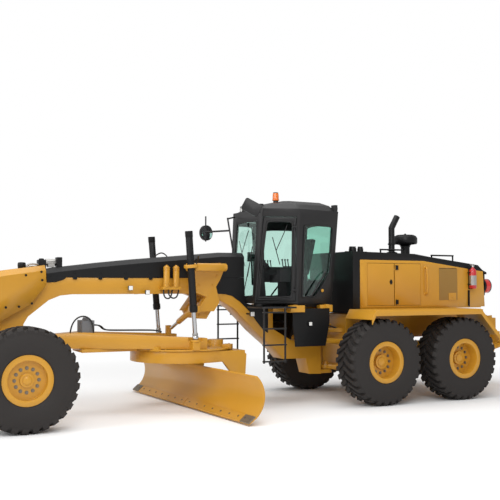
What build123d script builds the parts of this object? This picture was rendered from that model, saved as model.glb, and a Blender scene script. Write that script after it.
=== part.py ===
from build123d import *
from math import atan2, cos, degrees, hypot, radians, sin
import os

os.makedirs("parts", exist_ok=True)

# Motor grader, in millimetres: X forward, Y left, Z up, ground at Z 0.
# A station is a distance aft of the front axle, the way graders are measured.
FRONT_AXLE_X = 4920


def st(station):
    """X of a station, which counts aft from the front axle."""
    return FRONT_AXLE_X - station


# Wheels and axles
TYRE_R = 790
TYRE_W = 600
TRACK = 2703
WHEEL_Y = TRACK / 2
RIM_SEAT_R = 317.5
RIM_FLANGE_R = 381
RIM_W = 510
BEAD_Y = 241
TANDEM_MID = 7365
TANDEM_SPACING = 1841
FRONT_WHEEL_ST = 0
REAR_WHEEL_STS = (TANDEM_MID - TANDEM_SPACING / 2, TANDEM_MID + TANDEM_SPACING / 2)

# Articulation between the front and the rear frame
HITCH_ST = 6120
HITCH_PIN_R = 55
LUG_R = 130
REAR_LUGS_Z = ((560, 640), (1280, 1360))
FRONT_LUGS_Z = ((480, 552), (1368, 1440))

# Rear frame
RAIL_Y = (300, 430)
RAIL_Z = (1150, 1640)
RAIL_STS = (6330, 9480)
HOOD_Y = 800
HOOD_WALL = 35
HOOD_BOTTOM_Z = 1760

# Tandem cases
CASE_Y = (790, 1030)
CASE_H = 640
CASE_STS = (REAR_WHEEL_STS[0] - 150, REAR_WHEEL_STS[1] + 150)

# Front frame and its cover
BEAM_Y = 200
BEAM_Z = (2045, 2340)
COVER_Y = 215

# Cab: half plan at its sill and at its roof, from the windscreen back
CAB_SILL_Z = 1860
CAB_EAVES_Z = 3550
CAB_ROOF_Z = 3700
CAB_WALL = 55
CAB_SILL = ((4280, 520), (5050, 790), (5900, 600))
CAB_EAVES = ((4400, 627), (5050, 855), (6030, 636))

# Front axle
LEAN_PIVOT = (800, 640)
KINGPIN_Y = 985
LEAN_BAR_Z = 980
AXLE_PIN_Z = 860
AXLE_PIN_R = 50
TIE_ROD_ST = 220
TIE_ROD_Y = 868
TIE_ROD_Z = 703
STEER_ARM_Z = (765, 800)

# Drawbar, circle and blade
BALL_ST = 280
BALL_Z = 1250
BALL_R = 75
CIRCLE_ST = 3050
CIRCLE_R = 911
CIRCLE_Z = (860, 1060)
BLADE_YAW = 3
BLADE_LENGTH = 4877
BLADE_ARC_R = 413
BLADE_T = 25
BLADE_TIP_X = -35
BLADE_ARC_C = (106.5, 450)
BLADE_TIP_Z = 30
TIP_PIVOT = (-400, 235)
ARM_Y = (800, 850)

# Lift cylinders, from the left one's top to its ball
LIFT_TOP = (2813, 935, 3125)
LIFT_BALL = (2956, 899, 1300)
LIFT_PIVOT_SHARE = 0.33

# Centreshift cylinder: its anchor on the saddle and its pin on the drawbar
SHIFT_ANCHOR = (3130, 400, 1780)
SHIFT_PIN = (3060, -500, 1400)

# Articulation cylinders: anchor on the front frame, eye on the rear frame
HITCH_ANCHOR = (5640, 430, 1150)
HITCH_EYE = (6650, 600, 1080)

# Engine doors: place, front and rear station
DOORS = (("front", 6585, 7225), ("rear", 7235, 7880))

# Ripper
RIPPER_ROOT = (9640, 760)
RIPPER_END = (10330, 930)
RIPPER_RISE = 550
RIPPER_SIDE_Y = 410
RIPPER_CYLINDER_TOP = (9600, 1560)
RIPPER_CYLINDER_SHARE = 0.72
SHANK_SPACING = 445

SIDES = (("left", 1), ("right", -1))


def finish(shape, name):
    """Name a finished piece and write it."""
    shape.label = name
    export_step(shape, f"parts/{name}.step")


def block(stations, y_range, z_range, mode=Mode.ADD):
    """A box between two stations, two Y values and two heights."""
    x_low, x_high = st(max(stations)), st(min(stations))
    y_low, y_high = min(y_range), max(y_range)
    z_low, z_high = min(z_range), max(z_range)
    middle = ((x_low + x_high) / 2, (y_low + y_high) / 2, (z_low + z_high) / 2)
    with Locations(middle):
        Box(x_high - x_low, y_high - y_low, z_high - z_low, mode=mode)


def side_slab(outline, y_range, mode=Mode.ADD):
    """A slab whose outline, in station and height, is seen from the side."""
    y_low, y_high = min(y_range), max(y_range)
    face_plane = Plane(origin=(0, y_low, 0), x_dir=(-1, 0, 0), z_dir=(0, 1, 0))
    with BuildSketch(face_plane) as face:
        with BuildLine():
            Polyline(*[(-st(s), z) for s, z in outline], close=True)
        make_face()
    extrude(face.sketch, amount=y_high - y_low, dir=(0, 1, 0), mode=mode)


def plan_slab(outline, z_range, mode=Mode.ADD):
    """A slab whose outline, in station and Y, is seen from above."""
    z_low, z_high = min(z_range), max(z_range)
    with BuildSketch(Plane.XY.offset(z_low)) as face:
        with BuildLine():
            Polyline(*[(st(s), y) for s, y in outline], close=True)
        make_face()
    extrude(face.sketch, amount=z_high - z_low, dir=(0, 0, 1), mode=mode)


def rod(start, end, radius, mode=Mode.ADD):
    """A round bar between two points in X, Y and Z."""
    run = Vector(*end) - Vector(*start)
    with BuildSketch(Plane(origin=start, z_dir=run)) as section:
        Circle(radius)
    extrude(section.sketch, amount=run.length, dir=run.normalized(), mode=mode)


def at(station, y, z):
    """A point from its station, Y and height."""
    return (st(station), y, z)


def between(start, end, share):
    """The point at a share of the way from one point to another."""
    return tuple(a + (b - a) * share for a, b in zip(start, end))


def mirrored(outline):
    """A half plan, from front to back, closed by its mirror image."""
    return list(outline) + [(s, -y) for s, y in reversed(outline)]


# Rear frame: two rails, cross members, the hitch lugs and the rear bumper
with BuildPart() as rear_frame:
    for side in (1, -1):
        block(RAIL_STS, (side * RAIL_Y[0], side * RAIL_Y[1]), RAIL_Z)
    for station in (6330, 7100, 8500, 9400):
        block((station, station + 80), (-RAIL_Y[1], RAIL_Y[1]), (1200, 1600))
    block((6330, 6410), (-RAIL_Y[1], RAIL_Y[1]), (520, 1640))
    for z_low, z_high in REAR_LUGS_Z:
        plan_slab([(6350, 330), (HITCH_ST, LUG_R), (HITCH_ST, -LUG_R), (6350, -330)], (z_low, z_high))
        rod(at(HITCH_ST, 0, z_low), at(HITCH_ST, 0, z_high), LUG_R)
        rod(at(HITCH_ST, 0, z_low), at(HITCH_ST, 0, z_high), HITCH_PIN_R + 3, Mode.SUBTRACT)
    block((9400, 9532), (-760, 760), (1250, 1700))
    for side in (1, -1):
        for z_low, z_high in ((995, 1025), (1135, 1165)):
            block((6600, 6700), (side * RAIL_Y[0], side * 640), (z_low, z_high))
        block((6600, 6700), (side * RAIL_Y[0], side * 350), (995, 1165))
    block((9500, 9540), (-560, 560), (680, 1640))
    for side in (1, -1):
        for y in (80, 325, 495):
            lug = [(9540, 1640), (9650, 1620), (9710, 1350), (9710, 720), (9540, 680)]
            side_slab(lug, (side * y - 20, side * y + 20))
finish(rear_frame.part, "rear_frame")

# Tandem axle: the axle housing, its pedestals and the two tandem cases
with BuildPart() as tandem_axle:
    rod(at(TANDEM_MID, -CASE_Y[0], TYRE_R), at(TANDEM_MID, CASE_Y[0], TYRE_R), 210)
    rod(at(TANDEM_MID, -260, TYRE_R), at(TANDEM_MID, 260, TYRE_R), 330)
    for side in (1, -1):
        block((7215, 7515), (side * RAIL_Y[0], side * RAIL_Y[1]), (850, RAIL_Z[0]))
        y_in, y_out = side * CASE_Y[0], side * CASE_Y[1]
        block(CASE_STS, (y_in, y_out), (TYRE_R - CASE_H / 2 + 90, TYRE_R + CASE_H / 2))
        block((CASE_STS[0] + 90, CASE_STS[1] - 90), (y_in, y_out), (TYRE_R - CASE_H / 2, TYRE_R))
        for station in REAR_WHEEL_STS:
            rod(at(station, y_out, TYRE_R), at(station, side * 1270, TYRE_R), 185)
finish(tandem_axle.part, "tandem_axle")

# Fenders: a folded plate over each tandem, with a lip along its outer edge
FENDER_LINE = ((6080, 1590), (6165, 1745), (8640, 1745), (9110, 1240))
FENDER_T = 20
FENDER_LIP = 105
with BuildPart() as fenders:
    for side in (1, -1):
        lower = [(s, z - FENDER_T) for s, z in reversed(FENDER_LINE)]
        side_slab(list(FENDER_LINE) + lower, (side * 810, side * 1680))
        lip = [(s, z - FENDER_LIP) for s, z in reversed(FENDER_LINE)]
        side_slab(list(FENDER_LINE) + lip, (side * 1660, side * 1680))
        for station in (6700, 7300, 8300):
            block((station, station + 120), (side * RAIL_Y[1], side * 1600), (1640, 1726))
finish(fenders.part, "fenders")

# Engine: one plain mass between the rails
with BuildPart() as engine_block:
    block((6780, 8380), (-420, 420), (RAIL_Z[1], 2480))
finish(engine_block.part, "engine_block")

# Hood frame: the yellow side walls and rear wall, with door and grille openings
HOOD_SIDE = ((6420, 1760), (6420, 2690), (7940, 2685), (9500, 2488), (9540, 1760))
DOOR_Z = (1800, 2630)
GRILLE_STS = (8340, 8800)
GRILLE_Z = (1925, 2550)
with BuildPart() as hood_frame:
    side_slab(HOOD_SIDE, (-HOOD_Y, HOOD_Y))
    inner = [(6300, 1700), (6300, 2800), (9000, 2800), (9460, 2700), (9500, 1700)]
    side_slab(inner, (-HOOD_Y + HOOD_WALL, HOOD_Y - HOOD_WALL), Mode.SUBTRACT)
    for side in (1, -1):
        wall = (side * (HOOD_Y - 60), side * (HOOD_Y + 10))
        block((DOORS[0][1], DOORS[1][2]), wall, DOOR_Z, Mode.SUBTRACT)
        block(GRILLE_STS, wall, GRILLE_Z, Mode.SUBTRACT)
        slat_count = 14
        slat_pitch = (GRILLE_Z[1] - GRILLE_Z[0]) / slat_count
        for slat in range(slat_count):
            z = GRILLE_Z[0] + slat_pitch * (slat + 0.5)
            block(GRILLE_STS, (side * (HOOD_Y - 22), side * (HOOD_Y - 6)), (z - 12, z + 12))
    block((9440, 9600), (-620, 620), (1850, 2450), Mode.SUBTRACT)
    for slat in range(12):
        z = 1875 + slat * 50
        block((9490, 9508), (-625, 625), (z - 10, z + 10))
    for side in (1, -1):
        block((6420, 9440), (side * 440, side * (HOOD_Y - 5)), (1740, 1762))
        for station in (6600, 8900):
            block((station, station + 60), (side * 360, side * 500), (RAIL_Z[1], 1745))
finish(hood_frame.part, "hood_frame")

# Engine doors: flush panels, hinged along their front edges
for side_name, side in SIDES:
    for place, front_st, rear_st in DOORS:
        with BuildPart() as engine_door:
            stations = (front_st + 6, rear_st - 6)
            block(stations, (side * (HOOD_Y - 30), side * HOOD_Y), (DOOR_Z[0] + 6, DOOR_Z[1] - 6))
        finish(engine_door.part, f"engine_door_{place}_{side_name}")

# Hood top: the black cover with the tank at its front, the stack, precleaner and rails
PRECLEANER = (8110, 0)
PRECLEANER_HALF = ((0, 2720), (93, 2720), (93, 3020), (130, 3050), (235, 3063), (252, 3090), (252, 3190), (222, 3235), (0, 3247))
with BuildPart() as hood_top:
    block((6255, 6415), (-HOOD_Y, HOOD_Y), (1660, 2850))
    top_outline = [
        (6255, 2690),
        (6420, 2690),
        (7940, 2685),
        (9500, 2488),
        (9600, 2430),
        (9600, 2470),
        (9486, 2520),
        (9366, 2620),
        (8109, 2770),
        (7725, 2824),
        (6255, 2850),
    ]
    side_slab(top_outline, (-HOOD_Y, HOOD_Y))
    with BuildLine() as stack_line:
        Line(at(7500, 350, 2800), at(7500, 350, 3360))
        Line(at(7500, 350, 3360), at(7640, 350, 3600))
    with BuildSketch(Plane(origin=at(7500, 350, 2800), z_dir=(0, 0, 1))) as stack_ring:
        Circle(62)
    sweep(stack_ring.sketch, path=stack_line.line, transition=Transition.ROUND)
    with BuildSketch(Plane(origin=at(*PRECLEANER[:2], 0), x_dir=(1, 0, 0), z_dir=(0, -1, 0))) as bowl:
        with BuildLine():
            Polyline(*PRECLEANER_HALF, close=True)
        make_face()
    revolve(bowl.sketch, axis=Axis(at(*PRECLEANER[:2], 0), (0, 0, 1)))
    for side in (1, -1):
        for s_front, s_rear, z_top in ((7030, 7550, 2905), (8300, 8850, 2810)):
            y = side * 620
            rod(at(s_front, y, 2600), at(s_front, y, z_top), 16)
            rod(at(s_rear, y, 2600), at(s_rear, y, z_top), 16)
            rod(at(s_front - 16, y, z_top), at(s_rear + 16, y, z_top), 16)
        rod(at(9560, side * 650, 2185), at(9740, side * 650, 2185), 150)
        block((9545, 9575), (side * 530, side * 770), (1990, 2475))
finish(hood_top.part, "hood_top")


# Tyre: a faceted carcass between two beads, with two rows of lugs that lean back
FACETS = 20
TYRE_HALF = (
    (225, 742),
    (278, 718),
    (300, 560),
    (285, RIM_FLANGE_R + 16),
    (BEAD_Y, RIM_FLANGE_R),
    (BEAD_Y, RIM_SEAT_R),
)
TYRE_SECTION = TYRE_HALF + tuple((-y, r) for y, r in reversed(TYRE_HALF))
LUG_PLAN = ((18, -105), (18, -25), (278, 105), (278, 30))
LUG_Z = (700, 783)


def tyre_corner(y, apothem, step):
    """A corner of the regular polygon with this inner radius, at a distance along the axle."""
    corner_r = apothem / cos(radians(180 / FACETS))
    turn = radians(360 * (step + 0.5) / FACETS)
    return (corner_r * cos(turn), y, corner_r * sin(turn))


def carcass():
    """The tyre's body: flat faces between neighbouring points of its section."""
    faces = []
    for (y, r), (next_y, next_r) in zip(TYRE_SECTION, TYRE_SECTION[1:] + TYRE_SECTION[:1]):
        for step in range(FACETS):
            near = [tyre_corner(y, r, step), tyre_corner(y, r, step + 1)]
            far = [tyre_corner(next_y, next_r, step + 1), tyre_corner(next_y, next_r, step)]
            faces.append(Face(Wire.make_polygon(near + far)))
    return Solid(Shell(faces))


def tyre_shape():
    """The tyre about the origin, its axle along Y."""
    with BuildPart() as body:
        add(carcass())
        for side, first in ((1, 0), (-1, 1)):
            for step in range(first, FACETS, 2):
                crown = Plane.XY.rotated((0, 360 * step / FACETS, 0))
                with BuildSketch(crown.offset(LUG_Z[0])) as tread:
                    with BuildLine():
                        Polyline(*[(along, side * across) for across, along in LUG_PLAN], close=True)
                    make_face()
                extrude(tread.sketch, amount=LUG_Z[1] - LUG_Z[0], dir=crown.z_dir)
    return body.part


def rim(name, wheel_station, side, disc_out, hub_r, hub_out):
    """Rim: a barrel with two flanges, a dished disc and a hub boss."""
    bore_r = RIM_SEAT_R - 22
    half_w = RIM_W / 2
    section = [
        (0, disc_out - 30),
        (bore_r, disc_out - 30),
        (bore_r, -half_w),
        (RIM_FLANGE_R, -half_w),
        (RIM_FLANGE_R, -BEAD_Y),
        (RIM_SEAT_R, -BEAD_Y),
        (RIM_SEAT_R, BEAD_Y),
        (RIM_FLANGE_R, BEAD_Y),
        (RIM_FLANGE_R, half_w),
        (bore_r, half_w),
        (bore_r, disc_out),
        (hub_r, disc_out),
        (hub_r, hub_out),
        (0, hub_out),
    ]
    hub = Plane(origin=at(wheel_station, side * WHEEL_Y, TYRE_R), x_dir=(1, 0, 0), z_dir=(0, 0, side))
    with BuildPart() as body:
        with BuildSketch(hub) as profile:
            with BuildLine():
                Polyline(*[(r, y) for r, y in section], close=True)
            make_face()
        revolve(profile.sketch, axis=Axis(hub.origin, (0, 1, 0)))
    finish(body.part, name)


# Wheels: name, station, disc plane, hub radius and hub face from the tyre's middle
WHEELS = (
    ("front", FRONT_WHEEL_ST, 150, 105, 190),
    ("mid", REAR_WHEEL_STS[0], 40, 130, 95),
    ("rear", REAR_WHEEL_STS[1], 40, 130, 95),
)
TYRE = tyre_shape()
for side_name, side in SIDES:
    for place, wheel_station, disc_out, hub_r, hub_out in WHEELS:
        finish(Location(at(wheel_station, side * WHEEL_Y, TYRE_R)) * TYRE, f"tyre_{place}_{side_name}")
        rim(f"rim_{place}_{side_name}", wheel_station, side, disc_out, hub_r, hub_out)

# Front frame: nose, goose-neck beam, tail and the lugs at the hitch
BEAM_TOP = ((-300, 1900), (560, 2300), (950, 2340), (3700, 2340), (4080, 2150), (4230, 1850), (4760, 1420), (5230, 1150))
BEAM_TAIL = ((5560, 1130), (5560, 1780), (5900, 1780), (5900, 480), (5640, 490))
BEAM_BOTTOM = (
    (5560, 790),
    (5060, 800),
    (4885, 993),
    (4693, 1150),
    (4460, 1343),
    (4251, 1552),
    (4024, 1769),
    (3840, 1872),
    (3659, 1965),
    (3250, 2045),
)
BEAM_FRONT = ((1000, 2045), (800, 2025), (610, 1950), (460, 1830), (270, 1680), (200, 1560))
NOSE_BOTTOM = ((200, 1130), (-420, 1130), (-700, 1130), (-700, 1560))
CAB_FLOOR_Z = (1680, 1780)
with BuildPart() as front_frame:
    side_slab(BEAM_TOP + BEAM_TAIL + BEAM_BOTTOM + BEAM_FRONT + NOSE_BOTTOM, (-BEAM_Y, BEAM_Y))
    for z_low, z_high in FRONT_LUGS_Z:
        block((5850, HITCH_ST), (-LUG_R, LUG_R), (z_low, z_high))
        rod(at(HITCH_ST, 0, z_low), at(HITCH_ST, 0, z_high), LUG_R)
    rod(at(HITCH_ST, 0, 480), at(HITCH_ST, 0, 700), HITCH_PIN_R)
    rod(at(HITCH_ST, 0, 1220), at(HITCH_ST, 0, 1440), HITCH_PIN_R)
    side_slab([(4740, 1380), (4740, 1780), (4840, 1780), (4840, 1300)], (-BEAM_Y, BEAM_Y))
    for side in (1, -1):
        block((4740, 5900), (side * 330, side * 400), CAB_FLOOR_Z)
        for station in (5030, 5720):
            block((station - 50, station + 50), (side * 150, side * 688), (1690, 1770))
            block((station - 40, station + 40), (side * 600, side * 740), (1770, 1840))
        block((4740, 4840), (side * 150, side * 400), CAB_FLOOR_Z)
    rod(at(BALL_ST - BALL_R - 1, 0, BALL_Z), at(150, 0, BALL_Z), 45)
    for stations in ((-165, -116), (116, 165)):
        block(stations, (-120, 120), (820, 1180))
    rod(at(-165, 0, AXLE_PIN_Z), at(165, 0, AXLE_PIN_Z), AXLE_PIN_R)
    block((-725, -695), (-260, 260), (1100, 1440))
    for y in (-200, 200):
        for z in (1160, 1380):
            rod(at(-800, y, z), at(-600, y, z), 14, Mode.SUBTRACT)
finish(front_frame.part, "front_frame")

# Front frame cover: a black cap over the hydraulic lines, with skirts at both ends
COVER_TOP = ((560, 2350), (560, 2520), (1480, 2600), (3760, 2810), (4230, 2810), (4230, 2350))
FRONT_SKIRT = ((560, 2350), (1000, 2350), (840, 2260), (560, 2060))
SIDE_COVER = ((4990, 1765), (5790, 1765), (5790, 1500), (5700, 1060), (5040, 1060), (4990, 1500))
REAR_SKIRT = (
    (3620, 2350),
    (4230, 2350),
    (4250, 1860),
    (4730, 1770),
    (4730, 1300),
    (4629, 1358),
    (4481, 1529),
    (4355, 1699),
    (4148, 1888),
    (3983, 2000),
    (3620, 2045),
)
with BuildPart() as frame_cover:
    side_slab(COVER_TOP, (-COVER_Y, COVER_Y))
    for side in (1, -1):
        side_slab(FRONT_SKIRT, (side * (BEAM_Y + 1), side * COVER_Y))
        side_slab(REAR_SKIRT, (side * (BEAM_Y + 1), side * COVER_Y))
        block((1000, 3620), (side * (BEAM_Y + 1), side * COVER_Y), (2320, 2360))
    block((700, 4100), (-BEAM_Y, BEAM_Y), (2340, 2352))
    for side in (1, -1):
        side_slab(SIDE_COVER, (side * 688, side * 700))
finish(frame_cover.part, "frame_cover")

# Nose cover: a folded hood over the front of the frame
NOSE_SIDE = (
    (530, 2200),
    (520, 2530),
    (-210, 2430),
    (-600, 2330),
    (-790, 2060),
    (-790, 1620),
    (-650, 1480),
    (-420, 1480),
    (-150, 1640),
    (270, 1880),
)
NOSE_INSIDE = (
    (560, 2180),
    (540, 2510),
    (-205, 2410),
    (-590, 2310),
    (-770, 2050),
    (-770, 1400),
    (-400, 1400),
    (-120, 1600),
    (290, 1840),
)
NOSE_Y = 360
with BuildPart() as nose_cover:
    side_slab(NOSE_SIDE, (-NOSE_Y, NOSE_Y))
    top_edges = nose_cover.edges().filter_by(lambda e: abs(abs(e.center().Y) - NOSE_Y) < 1 and e.center().Z > 2200)
    top_edges = top_edges.filter_by(lambda e: abs(e.tangent_at(0.5).X) > 0.5)
    chamfer(top_edges, 90)
    side_slab(NOSE_INSIDE, (-NOSE_Y + 15, NOSE_Y - 15), Mode.SUBTRACT)
    for side in (1, -1):
        block((-500, 100), (side * BEAM_Y, side * (NOSE_Y - 15)), (1900, 1960))
        block((-60, 0), (side * 100, side * (NOSE_Y - 10)), (2380, 2430))
finish(nose_cover.part, "nose_cover")


def cab_plan(z):
    """Half plan of the cab's outer faces at a height."""
    share = (z - CAB_SILL_Z) / (CAB_EAVES_Z - CAB_SILL_Z)
    return [between(low, high, share) for low, high in zip(CAB_SILL, CAB_EAVES)]


def cab_loft(z_low, z_high, inset, mode=Mode.ADD):
    """A body between the cab's plans at two heights, drawn in by an inset."""
    sections = []
    for z in (z_low, z_high):
        with BuildSketch(Plane.XY.offset(z)) as section:
            with BuildLine():
                Polyline(*[(st(s), y) for s, y in mirrored(cab_plan(z))], close=True)
            make_face()
            if inset:
                offset(amount=-inset, kind=Kind.INTERSECTION, mode=Mode.REPLACE)
        sections.append(section.sketch)
    loft(sections, ruled=True, mode=mode)


def cab_face(first, second, side):
    """Plane of a cab wall between two plan corners: u runs aft, v up the wall, w outward."""
    low_a, low_b = CAB_SILL[first], CAB_SILL[second]
    top_a = CAB_EAVES[first]
    start = Vector(*at(low_a[0], side * low_a[1], CAB_SILL_Z))
    along = (Vector(*at(low_b[0], side * low_b[1], CAB_SILL_Z)) - start).normalized()
    rise = Vector(*at(top_a[0], side * top_a[1], CAB_EAVES_Z)) - start
    normal = along.cross(rise).normalized()
    return Plane(origin=start, x_dir=along, z_dir=normal)


def cab_opening(plane, outline, depth_range, mode):
    """Cut or add a slab on a cab wall, from its outline in the wall's own plane."""
    up = 1 if plane.y_dir.Z > 0 else -1
    out = 1 if plane.z_dir.Y * plane.origin.Y > 0 else -1
    low, high = min(out * depth_range[0], out * depth_range[1]), max(out * depth_range[0], out * depth_range[1])
    with BuildSketch(plane.offset(low)) as face:
        with BuildLine():
            Polyline(*[(u, up * v) for u, v in outline], close=True)
        make_face()
    extrude(face.sketch, amount=high - low, dir=plane.z_dir, mode=mode)


# Roof: height, front and rear station and half width of each level; lamps by station and Y
CAB_CROWN = ((3600, (4430, 6010), 700), (3730, (4640, 5930), 560), (3800, (5000, 5800), 380))
ROOF_LAMPS = ((4480, -420), (4560, -140), (4560, 160), (5960, -560), (5960, 560))

# Cab openings in wall coordinates: aft along the sill, then up the wall
DOOR_HOLE = ((35, 40), (780, 40), (783, 1600), (160, 1600))
DOOR_LEAF = ((45, 50), (770, 50), (773, 1590), (170, 1590))
DOOR_PANE = ((105, 130), (690, 130), (700, 1500), (230, 1500))
SIDE_PANE = ((110, 130), (430, 130), (800, 600), (850, 1450), (110, 1450))
with BuildPart() as cab_shell:
    cab_loft(CAB_SILL_Z, CAB_EAVES_Z, 0)
    cab_loft(CAB_EAVES_Z, CAB_EAVES_Z + 60, 0)
    cab_loft(CAB_SILL_Z + 60, CAB_EAVES_Z - 40, CAB_WALL, Mode.SUBTRACT)
    for side in (1, -1):
        cab_opening(cab_face(0, 1, side), DOOR_HOLE, (-80, 60), Mode.SUBTRACT)
        cab_opening(cab_face(1, 2, side), SIDE_PANE, (-80, 60), Mode.SUBTRACT)
    block((4100, 4500), (-440, 440), (1990, 3400), Mode.SUBTRACT)
    block((5800, 6200), (-500, 500), (2300, 3380), Mode.SUBTRACT)
    crown = []
    for z, (s_front, s_rear), half_y in CAB_CROWN:
        with BuildSketch(Plane.XY.offset(z)) as level:
            with BuildLine():
                half_plan = ((s_front, half_y * 0.82), (5100, half_y), (s_rear, half_y * 0.85))
                Polyline(*[(st(s), y) for s, y in mirrored(half_plan)], close=True)
            make_face()
        crown.append(level.sketch)
    loft(crown, ruled=True)
    rod(at(4850, 300, 3680), at(4850, 300, 3955), 48)
    for s, y in ROOF_LAMPS:
        block((s, s + 70), (y - 60, y + 60), (3610, 3740))
    block((4910, 5850), (-560, 560), (1790, CAB_SILL_Z + 10))
    block((4740, 4910), (-395, 395), (1790, CAB_SILL_Z + 10))
finish(cab_shell.part, "cab_shell")

for side_name, side in SIDES:
    with BuildPart() as cab_door:
        cab_opening(cab_face(0, 1, side), DOOR_LEAF, (-45, 0), Mode.ADD)
        cab_opening(cab_face(0, 1, side), DOOR_PANE, (-80, 60), Mode.SUBTRACT)
    finish(cab_door.part, f"cab_door_{side_name}")

# Cab glass: windscreen, rear pane and rear side panes
with BuildPart() as cab_glass:
    for side in (1, -1):
        cab_opening(cab_face(1, 2, side), SIDE_PANE, (-30, -22), Mode.ADD)
    side_slab([(4302, 1990), (4310, 1990), (4404, 3400), (4396, 3400)], (-440, 440))
    side_slab([(5900, 2300), (5908, 2300), (5992, 3380), (5984, 3380)], (-500, 500))
finish(cab_glass.part, "cab_glass")

# Cab interior: seat on its pedestal, control pods and the steering console
with BuildPart() as cab_interior:
    block((5150, 5450), (-180, 180), (1920, 2250))
    block((5020, 5560), (-260, 260), (2250, 2400))
    side_slab([(5480, 2400), (5600, 2400), (5760, 3080), (5680, 3100)], (-250, 250))
    for side in (1, -1):
        block((4950, 5500), (side * 290, side * 380), (2400, 2520))
        block((5100, 5200), (side * 240, side * 300), (2300, 2420))
    side_slab([(4600, 1920), (4760, 1920), (4700, 2560), (4600, 2620)], (-90, 90))
    rod(at(4680, 0, 2560), at(4730, 0, 2620), 170)
finish(cab_interior.part, "cab_interior")

# Mirrors: one on a tube frame ahead of the cab, one on a bracket at the roof
with BuildPart() as mirrors:
    rod(at(4190, -180, 2816), at(4180, -420, 3500), 16)
    rod(at(4180, -420, 3484), at(4378, -520, 3530), 16)
    rod(at(4184, -333, 3250), at(3930, -900, 3250), 18)
    rod(at(3930, -900, 3060), at(3930, -900, 3560), 14)
    rod(at(3925, -930, 3230), at(3945, -870, 3230), 150)
    rod(at(4130, 640, 3540), at(4376, 560, 3540), 18)
    mirror_face = Plane(origin=at(4100, 780, 3600), x_dir=(0.75, -0.35, 0.45), z_dir=(0.42, 0.9, 0))
    with BuildSketch(mirror_face) as plate:
        RectangleRounded(340, 230, 40)
    extrude(plate.sketch, amount=45, both=True)
    rod(at(4130, 640, 3540), at(4110, 760, 3590), 18)
finish(mirrors.part, "mirrors")

# Ladders: one on each side, hung from the cab floor
with BuildPart() as ladders:
    for side in (1, -1):
        block((4200, 4900), (side * 400, side * 1000), (1780, 1810))
        for station in (4240, 4670):
            rod(at(station, side * 985, 1800), at(station, side * 985, 810), 18)
        for step in range(4):
            z = 830 + 290 * step
            block((4222, 4690), (side * 955, side * 1015), (z, z + 25))
finish(ladders.part, "ladders")

# Front axle: the beam between both lean pivots, with the lean and steering barrels
LEAN_BOSS_R = 62
LEAN_ROD_ST = -216
LEAN_ROD_Z = 850
STEER_ROD_Z = 600
with BuildPart() as front_axle:
    pivot_y, pivot_z = LEAN_PIVOT
    low_z, high_z = pivot_z - LEAN_BOSS_R, pivot_z + LEAN_BOSS_R
    half_beam = ((300, 640), (pivot_y, low_z), (pivot_y, high_z), (620, 722), (350, 930))
    beam = list(half_beam) + [(-y, z) for y, z in reversed(half_beam)]
    with BuildSketch(Plane(origin=at(110, 0, 0), x_dir=(0, 1, 0), z_dir=(1, 0, 0))) as beam_face:
        with BuildLine():
            Polyline(*beam, close=True)
        make_face()
    extrude(beam_face.sketch, amount=220, dir=(1, 0, 0))
    rod(at(-120, 0, AXLE_PIN_Z), at(120, 0, AXLE_PIN_Z), AXLE_PIN_R, Mode.SUBTRACT)
    for side in (1, -1):
        rod(at(-110, side * pivot_y, pivot_z), at(110, side * pivot_y, pivot_z), LEAN_BOSS_R)
        block((100, 200), (side * 200, side * 260), (565, 640))
        rod(at(TIE_ROD_ST, side * 60, STEER_ROD_Z), at(TIE_ROD_ST, side * 420, STEER_ROD_Z), 38)
        rod(at(TIE_ROD_ST, side * 66, STEER_ROD_Z), at(TIE_ROD_ST, side * 420, STEER_ROD_Z), 24, Mode.SUBTRACT)
    block((-200, -100), (-230, -170), (LEAN_ROD_Z - 30, LEAN_ROD_Z + 30))
    rod(at(LEAN_ROD_ST, -330, LEAN_ROD_Z), at(LEAN_ROD_ST, 160, LEAN_ROD_Z), 42)
    rod(at(LEAN_ROD_ST, -320, LEAN_ROD_Z), at(LEAN_ROD_ST, 160, LEAN_ROD_Z), 28, Mode.SUBTRACT)
finish(front_axle.part, "front_axle")

for side_name, side in SIDES:
    with BuildPart() as lean_yoke:
        web = (side * 872, side * 908)
        block((-138, -15), web, (560, 1030))
        block((-15, 138), web, (560, 745))
        block((-15, 138), web, (820, 1030))
        for stations in ((-138, -116), (116, 138)):
            block(stations, (side * pivot_y, side * 880), (low_z, high_z))
            rod(at(stations[0], side * pivot_y, pivot_z), at(stations[1], side * pivot_y, pivot_z), LEAN_BOSS_R)
        block((-169, -130), web, (940, 1020))
        for z_low, z_high in ((560, 640), (940, 1010)):
            block((-70, 70), (side * 900, side * KINGPIN_Y), (z_low, z_high))
            rod(at(0, side * KINGPIN_Y, z_low), at(0, side * KINGPIN_Y, z_high), 75)
    finish(lean_yoke.part, f"lean_yoke_{side_name}")

    with BuildPart() as knuckle:
        rod(at(0, side * KINGPIN_Y, 648), at(0, side * KINGPIN_Y, 932), 70)
        rod(at(0, side * KINGPIN_Y, TYRE_R), at(0, side * 1400, TYRE_R), 62)
        rod(at(0, side * 1400, TYRE_R), at(0, side * 1465, TYRE_R), 150)
        arm = [(0, KINGPIN_Y - 30), (220, 842), (250, 860), (250, 898), (0, KINGPIN_Y + 30)]
        plan_slab([(s, side * y) for s, y in arm], STEER_ARM_Z)
    finish(knuckle.part, f"knuckle_{side_name}")

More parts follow.
